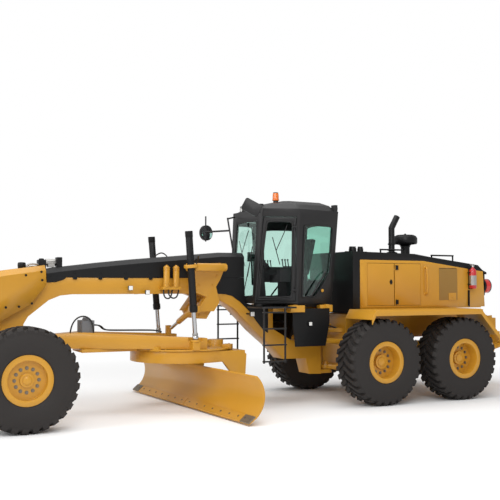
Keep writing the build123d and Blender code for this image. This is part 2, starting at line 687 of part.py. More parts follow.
with BuildPart() as tie_rod:
    rod(at(TIE_ROD_ST, -TIE_ROD_Y, TIE_ROD_Z), at(TIE_ROD_ST, TIE_ROD_Y, TIE_ROD_Z), 24)
    for side in (1, -1):
        block((TIE_ROD_ST - 20, TIE_ROD_ST + 20), (side * 690, side * 710), (STEER_ROD_Z - 20, TIE_ROD_Z))
        rod(at(TIE_ROD_ST, side * 235, STEER_ROD_Z), at(TIE_ROD_ST, side * 700, STEER_ROD_Z), 20)
finish(tie_rod.part, "tie_rod")

with BuildPart() as lean_bar:
    block((-215, -175), (-880, 880), (LEAN_BAR_Z - 40, LEAN_BAR_Z + 40))
    block((-240, -175), (760, 790), (LEAN_ROD_Z - 24, LEAN_BAR_Z))
    rod(at(LEAN_ROD_ST, -100, LEAN_ROD_Z), at(LEAN_ROD_ST, 775, LEAN_ROD_Z), 24)
finish(lean_bar.part, "lean_bar")

# Saddle: a casting on each side of the beam, with the lift arm, the foot and a link bar
SADDLE_BODY = (
    (3130, 2580),
    (3650, 2600),
    (3730, 2500),
    (3640, 2300),
    (3560, 2170),
    (3630, 1890),
    (3560, 1790),
    (3521, 1730),
    (3180, 1730),
    (3370, 1990),
    (3190, 2060),
    (3140, 2260),
)
SADDLE_FOOT = ((3630, 1890), (3560, 1790), (3430, 1590), (3250, 1600), (3180, 1730), (3300, 1890))
LIFT_ARM_PLAN = ((3640, 400), (3640, 600), (3150, 900), (2900, 900), (2860, 800), (2990, 400))
ACCUMULATOR_STS = (2640, 2820)
with BuildPart() as saddle:
    for side in (1, -1):
        side_slab(SADDLE_BODY, (side * 260, side * 420))
        side_slab(SADDLE_FOOT, (side * 205, side * 285))
        plan_slab([(s, side * y) for s, y in LIFT_ARM_PLAN], (2450, 2560))
        rod(at(2990, side * 440, 2520), at(3740, side * 440, 2520), 72)
        block((3200, 3550), (side * BEAM_Y, side * 270), (2060, 2300))
        top, ball = (st(LIFT_TOP[0]), side * LIFT_TOP[1], LIFT_TOP[2]), (st(LIFT_BALL[0]), side * LIFT_BALL[1], LIFT_BALL[2])
        rod(between(top, ball, 0.28), between(top, ball, 0.38), 96, Mode.SUBTRACT)
        low, high = between(top, ball, LIFT_PIVOT_SHARE - 0.015), between(top, ball, LIFT_PIVOT_SHARE + 0.015)
        rod(low, high, 120)
        rod(low, high, 86, Mode.SUBTRACT)
    for station in ACCUMULATOR_STS:
        rod(at(station, 340, 2170), at(station, 340, 2510), 55)
    block((2560, 2900), (BEAM_Y, 390), (2120, 2172))
    block((3290, 3430), (-280, 280), (1610, 1690))
    s, y, z = SHIFT_ANCHOR
    block((s + 62, s + 140), (y - 60, y + 20), (z - 60, z + 50))
    block((s + 62, s + 82), (y - 60, y + 82), (z - 60, z + 50))
    block((s - 80, s - 62), (y - 60, y + 82), (z - 60, z + 50))
    block((s - 80, s + 82), (y + 62, y + 82), (z - 60, z + 50))
finish(saddle.part, "saddle")

def ball_profile(radius):
    """Half outline of a faceted ball with small flats at its poles."""
    turns = [radians(-80 + 160 * step / 8) for step in range(9)]
    return [(0, radius * sin(turns[0]))] + [(radius * cos(t), radius * sin(t)) for t in turns] + [(0, radius * sin(turns[-1]))]


# Lift cylinders: a barrel in each trunnion ring and a rod down to the drawbar
BARREL_R = 62
BARREL_BORE_R = 42
ROD_R = 38
for side_name, side in SIDES:
    top = (st(LIFT_TOP[0]), side * LIFT_TOP[1], LIFT_TOP[2])
    ball = (st(LIFT_BALL[0]), side * LIFT_BALL[1], LIFT_BALL[2])
    barrel_end = between(top, ball, 0.76)
    with BuildPart() as lift_barrel:
        rod(top, barrel_end, BARREL_R)
        rod(between(top, ball, 0.02), barrel_end, BARREL_BORE_R, Mode.SUBTRACT)
    finish(lift_barrel.part, f"lift_barrel_{side_name}")
    with BuildPart() as lift_rod:
        rod(between(top, ball, 0.36), ball, ROD_R)
        with BuildSketch(Plane(origin=ball, x_dir=(1, 0, 0), z_dir=(0, -1, 0))) as ball_half:
            with BuildLine():
                Polyline(*ball_profile(56), close=True)
            make_face()
        revolve(ball_half.sketch, axis=Axis(ball, (0, 0, 1)))
    finish(lift_rod.part, f"lift_rod_{side_name}")

# Centreshift cylinder: from the saddle's left arm to the drawbar's right side
anchor, pin = at(*SHIFT_ANCHOR), at(*SHIFT_PIN)
with BuildPart() as centreshift_barrel:
    rod(anchor, between(anchor, pin, 0.66), 52)
    rod(between(anchor, pin, 0.025), between(anchor, pin, 0.66), 34, Mode.SUBTRACT)
finish(centreshift_barrel.part, "centreshift_barrel")
with BuildPart() as centreshift_rod:
    rod(between(anchor, pin, 0.35), pin, 30)
finish(centreshift_rod.part, "centreshift_rod")

# Drawbar: the ball at its front, then the frame that carries the circle
with BuildPart() as drawbar_ball:
    ball_middle = at(BALL_ST, 0, BALL_Z)
    with BuildSketch(Plane(origin=ball_middle, x_dir=(1, 0, 0), z_dir=(0, -1, 0))) as ball_half:
        with BuildLine():
            Polyline(*ball_profile(BALL_R), close=True)
        make_face()
    revolve(ball_half.sketch, axis=Axis(ball_middle, (0, 0, 1)))
finish(drawbar_ball.part, "drawbar_ball")

DRAWBAR_PLAN = ((400, 110), (900, 150), (2900, 800), (3225, 800))
DRAWBAR_GAP = ((1250, 60), (2650, 560), (2900, 645), (3230, 645))
DRAWBAR_SIDE = ((248, 1350), (420, 1360), (1200, 1400), (3420, 1270), (3420, 1092), (420, 1140), (248, 1150))
with BuildPart() as drawbar:
    plan_slab(mirrored(((248, 100),) + DRAWBAR_PLAN), (1000, 1500))
    side_slab(DRAWBAR_SIDE, (-1000, 1000), Mode.INTERSECT)
    plan_slab(mirrored(DRAWBAR_GAP), (1000, 1500), Mode.SUBTRACT)
    with Locations(at(BALL_ST, 0, BALL_Z)):
        Sphere(BALL_R + 6, mode=Mode.SUBTRACT)
    rod(at(BALL_ST, 0, BALL_Z), at(150, 0, BALL_Z), BALL_R, Mode.SUBTRACT)
    rod(at(CIRCLE_ST, 0, 1068), at(CIRCLE_ST, 0, 1094), CIRCLE_R + 30)
    rod(at(CIRCLE_ST, 0, 1060), at(CIRCLE_ST, 0, 1100), 560, Mode.SUBTRACT)
    block((1150, 2110), (-320, 320), (1064, 1120))
    for side in (1, -1):
        block((2890, 3022), (side * 700, side * 965), (1094, 1232))
        block((2870, 3140), (side * 740, side * 810), (1240, 1420), Mode.SUBTRACT)
    s, y, z = SHIFT_PIN
    block((s - 45, s + 45), (y - 200, y - 120), (1250, z + 45))
    rod(at(s, y - 125, z), at(s, y - 85, z), 14)
    rod(at(3730, 0, 1090), at(3730, 0, 1200), 150)
finish(drawbar.part, "drawbar")

# Circle: the turning ring with its teeth and the two arms that hold the blade
CIRCLE_FRAME = Plane(origin=(st(CIRCLE_ST), 0, 0)).rotated((0, 0, BLADE_YAW))


def circle_slab(outline, y_range, mode=Mode.ADD):
    """A slab in the circle's frame, from its outline in local X and Z."""
    y_low, y_high = min(y_range), max(y_range)
    face_plane = Plane(origin=(0, y_high, 0), x_dir=(1, 0, 0), z_dir=(0, -1, 0))
    with BuildSketch(face_plane) as face:
        with BuildLine():
            Polyline(*outline, close=True)
        make_face()
    extrude(face.sketch, amount=y_high - y_low, dir=(0, -1, 0), mode=mode)


def circle_rod(x, z, y_low, y_high, radius, mode=Mode.ADD):
    """A round bar along the blade, in the circle's frame."""
    rod((x, y_low, z), (x, y_high, z), radius, mode)


def place_circle(shape):
    """Move a piece from the circle's frame to its place."""
    return CIRCLE_FRAME.location * shape


# Circle teeth, cut on the inside of the ring
TEETH = 64
TOOTH_R = (775, 815)


def tooth_outline():
    """The ring's toothed bore: two points on each tip and two in each root."""
    outline = []
    for tooth in range(TEETH):
        for radius, share in ((TOOTH_R[0], -0.32), (TOOTH_R[0], -0.12), (TOOTH_R[1], 0.10), (TOOTH_R[1], 0.46)):
            turn = radians(360 * (tooth + share) / TEETH)
            outline.append((radius * cos(turn), radius * sin(turn)))
    return outline


ARM_SIDE = (
    (300, 1050),
    (-800, 1050),
    (-890, 980),
    (-870, 640),
    (-640, 300),
    (-455, 180),
    (-350, 200),
    (-350, 270),
    (-500, 420),
    (-600, 640),
    (-420, 862),
    (300, 862),
)
with BuildPart() as circle:
    rod((0, 0, CIRCLE_Z[0]), (0, 0, CIRCLE_Z[1]), CIRCLE_R)
    with BuildSketch(Plane.XY.offset(CIRCLE_Z[0])) as toothed_bore:
        with BuildLine():
            Polyline(*tooth_outline(), close=True)
        make_face()
    extrude(toothed_bore.sketch, amount=CIRCLE_Z[1] - CIRCLE_Z[0], dir=(0, 0, 1), mode=Mode.SUBTRACT)
    for side in (1, -1):
        circle_slab(ARM_SIDE, (side * ARM_Y[0], side * ARM_Y[1]))
    circle_slab([(-640, 1050), (-860, 1050), (-860, 990), (-640, 990)], (-ARM_Y[1], ARM_Y[1]))
finish(place_circle(circle.part), "circle")

BRACKET_SIDE = ((-455, 210), (-455, 720), (-340, 720), (-340, 180), (-430, 180))
SHIFT_BARREL = (-395, 480)
with BuildPart() as blade_bracket:
    for side in (1, -1):
        circle_slab(BRACKET_SIDE, (side * 640, side * (ARM_Y[0] - 8)))
        circle_rod(*TIP_PIVOT, side * 640, side * (ARM_Y[0] - 8), 58)
    circle_slab([(-450, 640), (-450, 710), (-380, 710), (-380, 640)], (-640, 640))
    circle_rod(*SHIFT_BARREL, -640, 640, 52)
    circle_rod(*SHIFT_BARREL, -1180, 560, 52)
    circle_rod(*SHIFT_BARREL, -1160, 560, 34, Mode.SUBTRACT)
    circle_rod(*SHIFT_BARREL, 500, 800, 34, Mode.SUBTRACT)
finish(place_circle(blade_bracket.part), "blade_bracket")

# Moldboard: a curved plate with its cutting edge, slide rails and shift rod
with BuildPart() as moldboard:
    c_x, c_z = BLADE_ARC_C
    top_angle, low_angle = radians(132), radians(230)

    def arc_point(radius, angle):
        return (c_x + radius * cos(angle), c_z + radius * sin(angle))

    outer_r = BLADE_ARC_R + BLADE_T
    face_plane = Plane(origin=(0, BLADE_LENGTH / 2, 0), x_dir=(1, 0, 0), z_dir=(0, -1, 0))
    with BuildSketch(face_plane) as section:
        with BuildLine():
            low_in, low_out = arc_point(BLADE_ARC_R, low_angle), arc_point(outer_r, low_angle)
            top_in, top_out = arc_point(BLADE_ARC_R, top_angle), arc_point(outer_r, top_angle)
            ThreePointArc(low_in, (c_x - BLADE_ARC_R, c_z), top_in)
            Line(top_in, top_out)
            ThreePointArc(top_out, (c_x - outer_r, c_z), low_out)
            Line(low_out, (BLADE_TIP_X - 16, BLADE_TIP_Z))
            Line((BLADE_TIP_X - 16, BLADE_TIP_Z), (BLADE_TIP_X, BLADE_TIP_Z))
            Line((BLADE_TIP_X, BLADE_TIP_Z), low_in)
        make_face()
    extrude(section.sketch, amount=BLADE_LENGTH, dir=(0, -1, 0))
    circle_slab([(-334, 215), (-334, 275), (-285, 275), (-278, 215)], (-1950, 1950))
    circle_slab([(-334, 640), (-334, 700), (-262, 700), (-285, 640)], (-1950, 1950))
    circle_rod(*SHIFT_BARREL, -350, 1700, 30)
    circle_slab([(-430, 440), (-430, 520), (-320, 520), (-320, 440)], (1700, 1760))
finish(place_circle(moldboard.part), "moldboard")

# Articulation cylinders: barrels on the front frame, rods to the rear frame
for side_name, side in SIDES:
    anchor = at(HITCH_ANCHOR[0], side * HITCH_ANCHOR[1], HITCH_ANCHOR[2])
    eye = at(HITCH_EYE[0], side * HITCH_EYE[1], HITCH_EYE[2])
    with BuildPart() as articulation_barrel:
        rod(anchor, between(anchor, eye, 0.58), 55)
        rod(between(anchor, eye, 0.05), between(anchor, eye, 0.58), 34, Mode.SUBTRACT)
    finish(articulation_barrel.part, f"articulation_barrel_{side_name}")
    with BuildPart() as articulation_rod:
        rod(between(anchor, eye, 0.28), between(anchor, eye, 0.97), 30)
    finish(articulation_rod.part, f"articulation_rod_{side_name}")

# Ripper: parallel links, the beam with its shanks and two cylinders
HIGH_ROOT = (RIPPER_ROOT[0], RIPPER_ROOT[1] + RIPPER_RISE)
HIGH_END = (RIPPER_END[0], RIPPER_END[1] + RIPPER_RISE)


def link_bar(start, end, y_range, depth):
    """A flat link between two pins seen from the side."""
    run = hypot(end[0] - start[0], end[1] - start[1])
    n_s, n_z = -(end[1] - start[1]) / run * depth, (end[0] - start[0]) / run * depth
    side_slab(
        [
            (start[0] + n_s, start[1] + n_z),
            (end[0] + n_s, end[1] + n_z),
            (end[0] - n_s, end[1] - n_z),
            (start[0] - n_s, start[1] - n_z),
        ],
        y_range,
    )
    for s, z in (start, end):
        rod(at(s, min(y_range), z), at(s, max(y_range), z), depth)


with BuildPart() as ripper_lower_link:
    for side in (1, -1):
        link_bar(RIPPER_ROOT, RIPPER_END, (side * 351, side * 374), 45)
        link_bar(RIPPER_ROOT, RIPPER_END, (side * 446, side * 469), 45)
    middle = between(RIPPER_ROOT, RIPPER_END, 0.45)
    rod(at(middle[0], -450, middle[1]), at(middle[0], 450, middle[1]), 40)
finish(ripper_lower_link.part, "ripper_lower_link")

with BuildPart() as ripper_upper_link:
    link_bar(HIGH_ROOT, HIGH_END, (-52, 52), 50)
finish(ripper_upper_link.part, "ripper_upper_link")


SHANK = ((10440, 1480), (10560, 1480), (10560, 880), (10420, 520), (10080, 190), (10050, 215), (10330, 560), (10440, 880))
with BuildPart() as ripper_beam:
    block((10400, 10620), (-1460, 1460), (900, 1120))
    for side in (1, -1):
        post = [(10400, 1540), (10280, 1530), (10280, 1430), (10340, 1200), (10400, 1120), (10460, 1120)]
        side_slab(post, (side * 60, side * 90))
        side_slab([(10410, 1120), (10280, 1000), (10280, 880), (10410, 900)], (side * 392, side * 428))
    for place in range(-3, 4):
        block((10390, 10640), (place * SHANK_SPACING - 75, place * SHANK_SPACING + 75), (860, 1180))
    block((10620, 10720), (-90, 90), (930, 1090))
    rod(at(10680, 0, 900), at(10680, 0, 1100), 26, Mode.SUBTRACT)
    for place in (-2, 0, 2):
        side_slab(SHANK, (place * SHANK_SPACING - 33, place * SHANK_SPACING + 33))
finish(ripper_beam.part, "ripper_beam")

low_pin = between(RIPPER_ROOT, RIPPER_END, RIPPER_CYLINDER_SHARE)
with BuildPart() as ripper_barrels:
    for side in (1, -1):
        top = at(RIPPER_CYLINDER_TOP[0], side * RIPPER_SIDE_Y, RIPPER_CYLINDER_TOP[1])
        pin = at(low_pin[0], side * RIPPER_SIDE_Y, low_pin[1])
        rod(top, between(top, pin, 0.70), 50)
        rod(between(top, pin, 0.06), between(top, pin, 0.70), 34, Mode.SUBTRACT)
finish(ripper_barrels.part, "ripper_barrels")
with BuildPart() as ripper_rods:
    for side in (1, -1):
        top = at(RIPPER_CYLINDER_TOP[0], side * RIPPER_SIDE_Y, RIPPER_CYLINDER_TOP[1])
        pin = at(low_pin[0], side * RIPPER_SIDE_Y, low_pin[1])
        rod(between(top, pin, 0.26), between(top, pin, 0.93), 30)
finish(ripper_rods.part, "ripper_rods")
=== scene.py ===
import math

import bmesh
import bpy
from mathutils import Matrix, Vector


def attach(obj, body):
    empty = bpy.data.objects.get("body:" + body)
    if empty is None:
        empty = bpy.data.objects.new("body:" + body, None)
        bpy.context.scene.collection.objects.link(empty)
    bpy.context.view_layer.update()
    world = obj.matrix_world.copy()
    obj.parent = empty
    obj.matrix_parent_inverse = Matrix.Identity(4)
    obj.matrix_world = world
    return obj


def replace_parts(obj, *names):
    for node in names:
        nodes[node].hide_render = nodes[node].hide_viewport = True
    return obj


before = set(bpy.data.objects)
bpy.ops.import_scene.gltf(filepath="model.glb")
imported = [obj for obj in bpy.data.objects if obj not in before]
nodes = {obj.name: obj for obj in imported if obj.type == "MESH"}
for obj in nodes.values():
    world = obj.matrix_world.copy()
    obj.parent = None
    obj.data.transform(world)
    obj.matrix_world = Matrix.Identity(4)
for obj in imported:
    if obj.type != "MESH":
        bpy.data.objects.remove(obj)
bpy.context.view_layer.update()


# Rear frame, axle housing and tandem cases: welded plate in gloss yellow
# machine paint. The solids carry the paint, and their sharp edges are broken
# by the small rounding that folded and ground plate has.
CLOUD = {"Scale": 2.3, "Detail": 5.0}
ROUGHNESS_SPREAD = 0.18
SOLID_ANGLE = 38
WELD_GAP = 0.00002
FLAT_ANGLE = 0.6


def wire(tree, node, values=None, links=None):
    """Set a node's inputs by name or number, and link sources into them."""
    for socket, value in (values or {}).items():
        node.inputs[socket].default_value = value
    for socket, source in (links or {}).items():
        tree.links.new(source, node.inputs[socket])
    return node


def add_node(tree, kind, values=None, links=None):
    """Add a node to a tree, with its inputs set and linked."""
    return wire(tree, tree.nodes.new(kind), values, links)


def finish_material(
    name, colour, roughness, metallic=0.0, coat=0.0, grain=0.0, grain_scale=60.0, mottle=0.06, gleam=0.5
):
    """A painted or moulded finish, with slow mottling and a fine surface grain."""
    material = bpy.data.materials.new(name)
    material.use_nodes = True
    tree = material.node_tree
    place = add_node(tree, "ShaderNodeTexCoord").outputs["Object"]
    cloud = add_node(tree, "ShaderNodeTexNoise", CLOUD, {"Vector": place}).outputs["Fac"]
    dark = (*[c * (1 - mottle) for c in colour], 1)
    light = (*[min(1.0, c * (1 + mottle)) for c in colour], 1)
    tone = add_node(tree, "ShaderNodeMix", {6: dark, 7: light}, {0: cloud})
    tone.data_type = "RGBA"
    smooth, rough = roughness * (1 - ROUGHNESS_SPREAD), min(1.0, roughness * (1 + ROUGHNESS_SPREAD))
    spread = {"To Min": smooth, "To Max": rough}
    wear = add_node(tree, "ShaderNodeMapRange", spread, {"Value": cloud})
    surface = {"Metallic": metallic, "Coat Weight": coat, "Coat Roughness": 0.12, "Specular IOR Level": gleam}
    looks = {"Base Color": tone.outputs[2], "Roughness": wear.outputs["Result"]}
    shader = wire(tree, tree.nodes["Principled BSDF"], surface, looks)
    if grain:
        speck = add_node(tree, "ShaderNodeTexNoise", {"Scale": grain_scale, "Detail": 3.0}, {"Vector": place})
        relief = {"Strength": grain, "Distance": 0.004}
        bump = add_node(tree, "ShaderNodeBump", relief, {"Height": speck.outputs["Fac"]})
        tree.links.new(bump.outputs["Normal"], shader.inputs["Normal"])
    return material


def soften(piece, edge, angle):
    """Shade a piece smooth and round its sharp edges, or split them where the width is 0."""
    piece.data.polygons.foreach_set("use_smooth", [True] * len(piece.data.polygons))
    if edge:
        bevel = piece.modifiers.new("edge", "BEVEL")
        bevel.width = edge
        bevel.segments = 2
        bevel.limit_method = "ANGLE"
        bevel.angle_limit = math.radians(angle)
        bevel.harden_normals = True
    else:
        split = piece.modifiers.new("split", "EDGE_SPLIT")
        split.split_angle = math.radians(angle)


def coat_nodes(names, material, edge=0.006):
    """Give solids of the frame their finish, join their flat faces and break their edges."""
    for name in names:
        node = nodes[name]
        node.data.materials.clear()
        node.data.materials.append(material)
        weld = node.modifiers.new("weld", "WELD")
        weld.merge_threshold = WELD_GAP
        flat = node.modifiers.new("flat", "DECIMATE")
        flat.decimate_type = "DISSOLVE"
        flat.angle_limit = math.radians(FLAT_ANGLE)
        soften(node, edge, SOLID_ANGLE)


yellow = finish_material("yellow_machine_paint", (0.56, 0.272, 0.022), 0.36,
                         coat=0.15, grain=0.03, grain_scale=90, gleam=0.4)
coat_nodes(("rear_frame", "tandem_axle"), yellow)

# Engine: a grey cast block between the rails, seen only with the doors open.
# It is bare iron with a coarse cast skin, bolted down to the rear frame.
iron = finish_material("engine_cast_iron", (0.16, 0.16, 0.165), 0.55,
                       metallic=0.3, grain=0.4, grain_scale=40)
coat_nodes(("engine_block",), iron, 0.02)

# Hood and fenders: folded yellow side walls with doors, under a black cover of
# satin paint that carries the tank, the stack, the precleaner and the rails.
SIDES = (("left", 1), ("right", -1))


def both(*names):
    """Each name for the left side and for the right side."""
    return [f"{name}_{side_name}" for name in names for side_name, _ in SIDES]


black = finish_material("black_satin_paint", (0.006, 0.006, 0.0065), 0.42,
                        coat=0.04, grain=0.05, grain_scale=120, gleam=0.25)
coat_nodes(["hood_frame", "fenders"] + both("engine_door_front", "engine_door_rear"), yellow, 0.004)
coat_nodes(("hood_top",), black, 0.012)

# Hood fittings: latches and hinges on the doors, grab bars, the mesh in front of
# the grille, a fire extinguisher, caps on the tank, clamps on the stack and the
# rear lamps' lenses. All are bought or pressed pieces, bolted to the hood.
FRONT_AXLE_X = 4.920
WALL_Y = 0.800
HOOD_TOP_Z = 2.845
UP = (0, 0, 1)
AFT = (-1, 0, 0)
AHEAD = (1, 0, 0)
CORNER_SHARE = 2.2


def at(station, y, z):
    """A place on the machine from its station aft of the front axle, in metres."""
    return Vector((FRONT_AXLE_X - station, y, z))


def add_piece(name, data, body):
    """Put a mesh or a curve in the scene as a piece that rides on a body."""
    piece = bpy.data.objects.new(name, data)
    bpy.context.scene.collection.objects.link(piece)
    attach(piece, body)
    return piece


def new_piece(name, mesh, material, body, edge=0.0, angle=35):
    """Turn a bmesh into a piece that rides on a body, with its edges broken or split."""
    bmesh.ops.recalc_face_normals(mesh, faces=mesh.faces)
    data = bpy.data.meshes.new(name)
    mesh.to_mesh(data)
    mesh.free()
    data.materials.append(material)
    piece = add_piece(name, data, body)
    soften(piece, edge, angle)
    return piece


def skin(mesh, rows, around=True, capped=False):
    """Faces between rows of points, each row closed on itself or open, and caps on the end rows."""
    for first, second in zip(rows, rows[1:]):
        for i in range(len(first) if around else len(first) - 1):
            j = (i + 1) % len(first)
            mesh.faces.new((first[i], first[j], second[j], second[i]))
    if capped:
        mesh.faces.new(rows[0])
        mesh.faces.new(rows[-1])


def slab(mesh, outline, ys):
    """A plate from its side outline of stations and Z, between two Y."""
    skin(mesh, [[mesh.verts.new(at(s, y, z)) for s, z in outline] for y in ys], capped=True)


def box(mesh, stations, ys, zs):
    """A block between two stations, two Y and two Z."""
    (start, end), (low, high) = stations, zs
    slab(mesh, ((start, low), (end, low), (end, high), (start, high)), ys)


def turned(mesh, start, axis, profile, sides=32, hollow=False):
    """A turned form: rings of radius and height along an axis, closed by discs or hollow as a sleeve."""
    start, axis = Vector(start), Vector(axis).normalized()
    across = axis.orthogonal().normalized()
    other = axis.cross(across)
    turns = [2 * math.pi * step / sides for step in range(sides)]
    rings = []
    for radius, height in profile:
        centre = start + axis * height
        ring = [centre + (across * math.cos(t) + other * math.sin(t)) * radius for t in turns]
        rings.append([mesh.verts.new(place) for place in ring])
    if hollow:
        skin(mesh, rings + rings[:1])
    else:
        skin(mesh, rings, capped=True)


def bar(mesh, a, b, radius, sides=20):
    """A round bar between two points."""
    span = Vector(b) - Vector(a)
    turned(mesh, a, span, ((radius, 0.0), (radius, span.length)), sides)


def tube(name, runs, radius, steps, material, body):
    """Round tubes, each one smooth spline over its control points."""
    curve = bpy.data.curves.new(name, "CURVE")
    curve.dimensions = "3D"
    curve.bevel_depth = radius
    curve.bevel_resolution = 3
    curve.resolution_u = steps
    curve.use_fill_caps = True
    for run in runs:
        spline = curve.splines.new("NURBS")
        spline.points.add(len(run) - 1)
        for point, place in zip(spline.points, run):
            point.co = (*place, 1)
        spline.order_u = 3
        spline.use_endpoint_u = True
    curve.materials.append(material)
    return add_piece(name, curve, body)


def rail(name, runs, radius, material, body, corner=0.05):
    """Bent round rails: each run is a list of corners, rounded where the bar was bent."""
    bent = []
    for run in runs:
        points = [Vector(run[0])]
        for before, here, after in zip(run, run[1:], run[2:]):
            here = Vector(here)
            for neighbour in (before, after):
                step = Vector(neighbour) - here
                points.append(here + step.normalized() * min(corner, step.length / CORNER_SHARE))
        points.append(Vector(run[-1]))
        bent.append(points)
    return tube(name, bent, radius, 4, material, body)


steel = finish_material("plated_steel", (0.42, 0.41, 0.39), 0.36,
                        metallic=0.85, grain=0.05, mottle=0.12)
red = finish_material("red_enamel", (0.50, 0.015, 0.02), 0.3, coat=0.4)
mesh_brown = finish_material("grille_mesh", (0.30, 0.165, 0.03), 0.6,
                             grain=0.9, grain_scale=160)
LATCH = ((0.034, 0.0), (0.034, 0.008), (0.026, 0.012), (0.016, 0.012))
GRAB_FOOT = ((0.036, 0.0), (0.036, 0.006), (0.028, 0.010), (0.012, 0.010))
KNOB = ((0.03, 0.0), (0.03, 0.006), (0.018, 0.008), (0.006, 0.008))
for side_name, side in SIDES:
    wall = side * WALL_Y
    outward = (0, side, 0)
    mesh = bmesh.new()
    turned(mesh, at(7.146, wall, 2.263), outward, LATCH, 24)
    box(mesh, (7.126, 7.166), (wall, wall + side * 0.006), (2.216, 2.310))
    new_piece(f"door_latch_{side_name}", mesh, black, f"engine_door_front_{side_name}")
    mesh = bmesh.new()
    pin = wall + side * 0.008
    for z in (1.870, 2.545):
        box(mesh, (7.262, 7.322), (wall, wall + side * 0.007), (z - 0.045, z + 0.045))
        bar(mesh, at(7.262, pin, z - 0.05), at(7.262, pin, z + 0.05), 0.009)
    new_piece(f"door_hinges_{side_name}", mesh, black, f"engine_door_rear_{side_name}")
    grip = wall + side * 0.06
    grab = [at(7.99, wall, 2.56), at(7.99, grip, 2.56), at(7.99, grip, 2.03), at(7.99, wall, 2.03)]
    rail(f"hood_grab_bar_{side_name}", [grab], 0.020, yellow, "root", 0.03)
    mesh = bmesh.new()
    for z in (2.03, 2.56):
        turned(mesh, at(7.99, wall, z), outward, GRAB_FOOT, 20)
    box(mesh, (8.580, 8.775), (wall, wall + side * 0.012), (1.895, 2.045))
    turned(mesh, at(8.68, wall + side * 0.012, 1.97), outward, KNOB, 20)
    new_piece(f"hood_side_fittings_{side_name}", mesh, yellow, "root", 0.003)
    mesh = bmesh.new()
    box(mesh, (8.337, 8.808), (wall + side * 0.001, wall + side * 0.004), (1.900, 2.538))
    new_piece(f"grille_mesh_{side_name}", mesh, mesh_brown, "root")
    mesh = bmesh.new()
    box(mesh, (9.085, 9.125), (wall, wall + side * 0.01), (1.78, 2.10))
    bar(mesh, at(9.105, wall + side * 0.02, 2.09), at(9.105, wall + side * 0.02, 1.76), 0.014)
    bar(mesh, at(9.105, wall, 2.08), at(9.105, wall + side * 0.03, 2.08), 0.018)
    new_piece(f"hood_strut_{side_name}", mesh, black, "root", 0.002)

EXTINGUISHER = (9.15, 0.885)
BOTTLE = (
    (0.001, 0.0), (0.062, 0.0), (0.072, 0.015), (0.072, 0.36), (0.060, 0.395), (0.030, 0.42), (0.022, 0.44),
    (0.022, 0.45),
)
mesh = bmesh.new()
turned(mesh, at(*EXTINGUISHER, 2.13), UP, BOTTLE)
new_piece("extinguisher_body", mesh, red, "root")
mesh = bmesh.new()
turned(mesh, at(*EXTINGUISHER, 2.20), UP, ((0.0735, 0.0), (0.0735, 0.20)))
bar(mesh, at(9.19, 0.885, 2.60), at(9.08, 0.885, 2.625), 0.012)
turned(mesh, at(*EXTINGUISHER, 2.57), UP, ((0.026, 0.0), (0.026, 0.03), (0.014, 0.05), (0.014, 0.07)), 20)
new_piece("extinguisher_sleeve", mesh, steel, "root")
mesh = bmesh.new()
box(mesh, (9.10, 9.20), (WALL_Y, 0.818), (2.12, 2.56))
for z in (2.22, 2.46):
    box(mesh, (9.072, 9.228), (0.812, 0.900), (z - 0.012, z + 0.012))
new_piece("extinguisher_bracket", mesh, black, "root", 0.003)

mesh = bmesh.new()
for station, y, r in ((6.52, 0.40, 0.075), (6.70, 0.40, 0.06), (6.62, 0.20, 0.05)):
    cap = ((r * 1.25, 0.0), (r * 1.25, 0.02), (r, 0.022), (r, 0.075), (r * 0.8, 0.10), (r * 0.3, 0.10))
    turned(mesh, at(station, y, HOOD_TOP_Z), UP, cap, 28)
    box(mesh, (station - r * 0.9, station + r * 0.9), (y - 0.012, y + 0.012), (2.94, 2.965))
new_piece("tank_caps", mesh, black, "root", 0.003)

STACK = (7.50, 0.35)
PRECLEANER = (8.11, 0)
mesh = bmesh.new()
for place, z, profile in (
    (STACK, 2.90, ((0.082, 0.0), (0.082, 0.03))),
    (STACK, 3.02, ((0.076, 0.0), (0.076, 0.03))),
    (STACK, HOOD_TOP_Z, ((0.12, 0.0), (0.12, 0.012), (0.085, 0.03))),
    (PRECLEANER, 2.765, ((0.16, 0.0), (0.16, 0.02), (0.10, 0.05))),
    (PRECLEANER, 3.00, ((0.10, 0.0), (0.104, 0.004), (0.104, 0.02), (0.10, 0.024))),
    (PRECLEANER, 3.247, ((0.20, -0.003), (0.17, 0.010), (0.03, 0.018), (0.02, 0.03), (0.012, 0.04))),
):
    turned(mesh, at(*place, z), UP, profile)
new_piece("stack_clamps", mesh, black, "root")

lens_red = finish_material("red_lamp_lens", (0.60, 0.01, 0.008), 0.12, coat=0.6)
REAR_LENS = ((0.1515, 0.0), (0.1515, 0.105), (0.146, 0.128), (0.12, 0.142), (0.05, 0.148))
mesh = bmesh.new()
for side in (1, -1):
    turned(mesh, at(9.605, side * 0.65, 2.185), AFT, REAR_LENS, 40)
new_piece("rear_lamp_lenses", mesh, lens_red, "root")

# Fasteners: hexagon heads on washers, set out by a short table for each body.
# One tree puts a head at every point and turns it to face the way the bolt
# was driven; the finished heads of a body are one plain mesh.
bolt_tree = bpy.data.node_groups.new("bolt_heads", "GeometryNodeTree")
for label, way, kind in (
    ("Geometry", "INPUT", "NodeSocketGeometry"), ("Head Radius", "INPUT", "NodeSocketFloat"),
    ("Head Height", "INPUT", "NodeSocketFloat"), ("Finish", "INPUT", "NodeSocketMaterial"),
    ("Geometry", "OUTPUT", "NodeSocketGeometry"),
):
    bolt_tree.interface.new_socket(label, in_out=way, socket_type=kind)
entry = add_node(bolt_tree, "NodeGroupInput").outputs


def scaled(source, factor):
    """A value of the bolt tree times a factor."""
    times = add_node(bolt_tree, "ShaderNodeMath", {1: factor}, {0: source})
    times.operation = "MULTIPLY"
    return times.outputs[0]


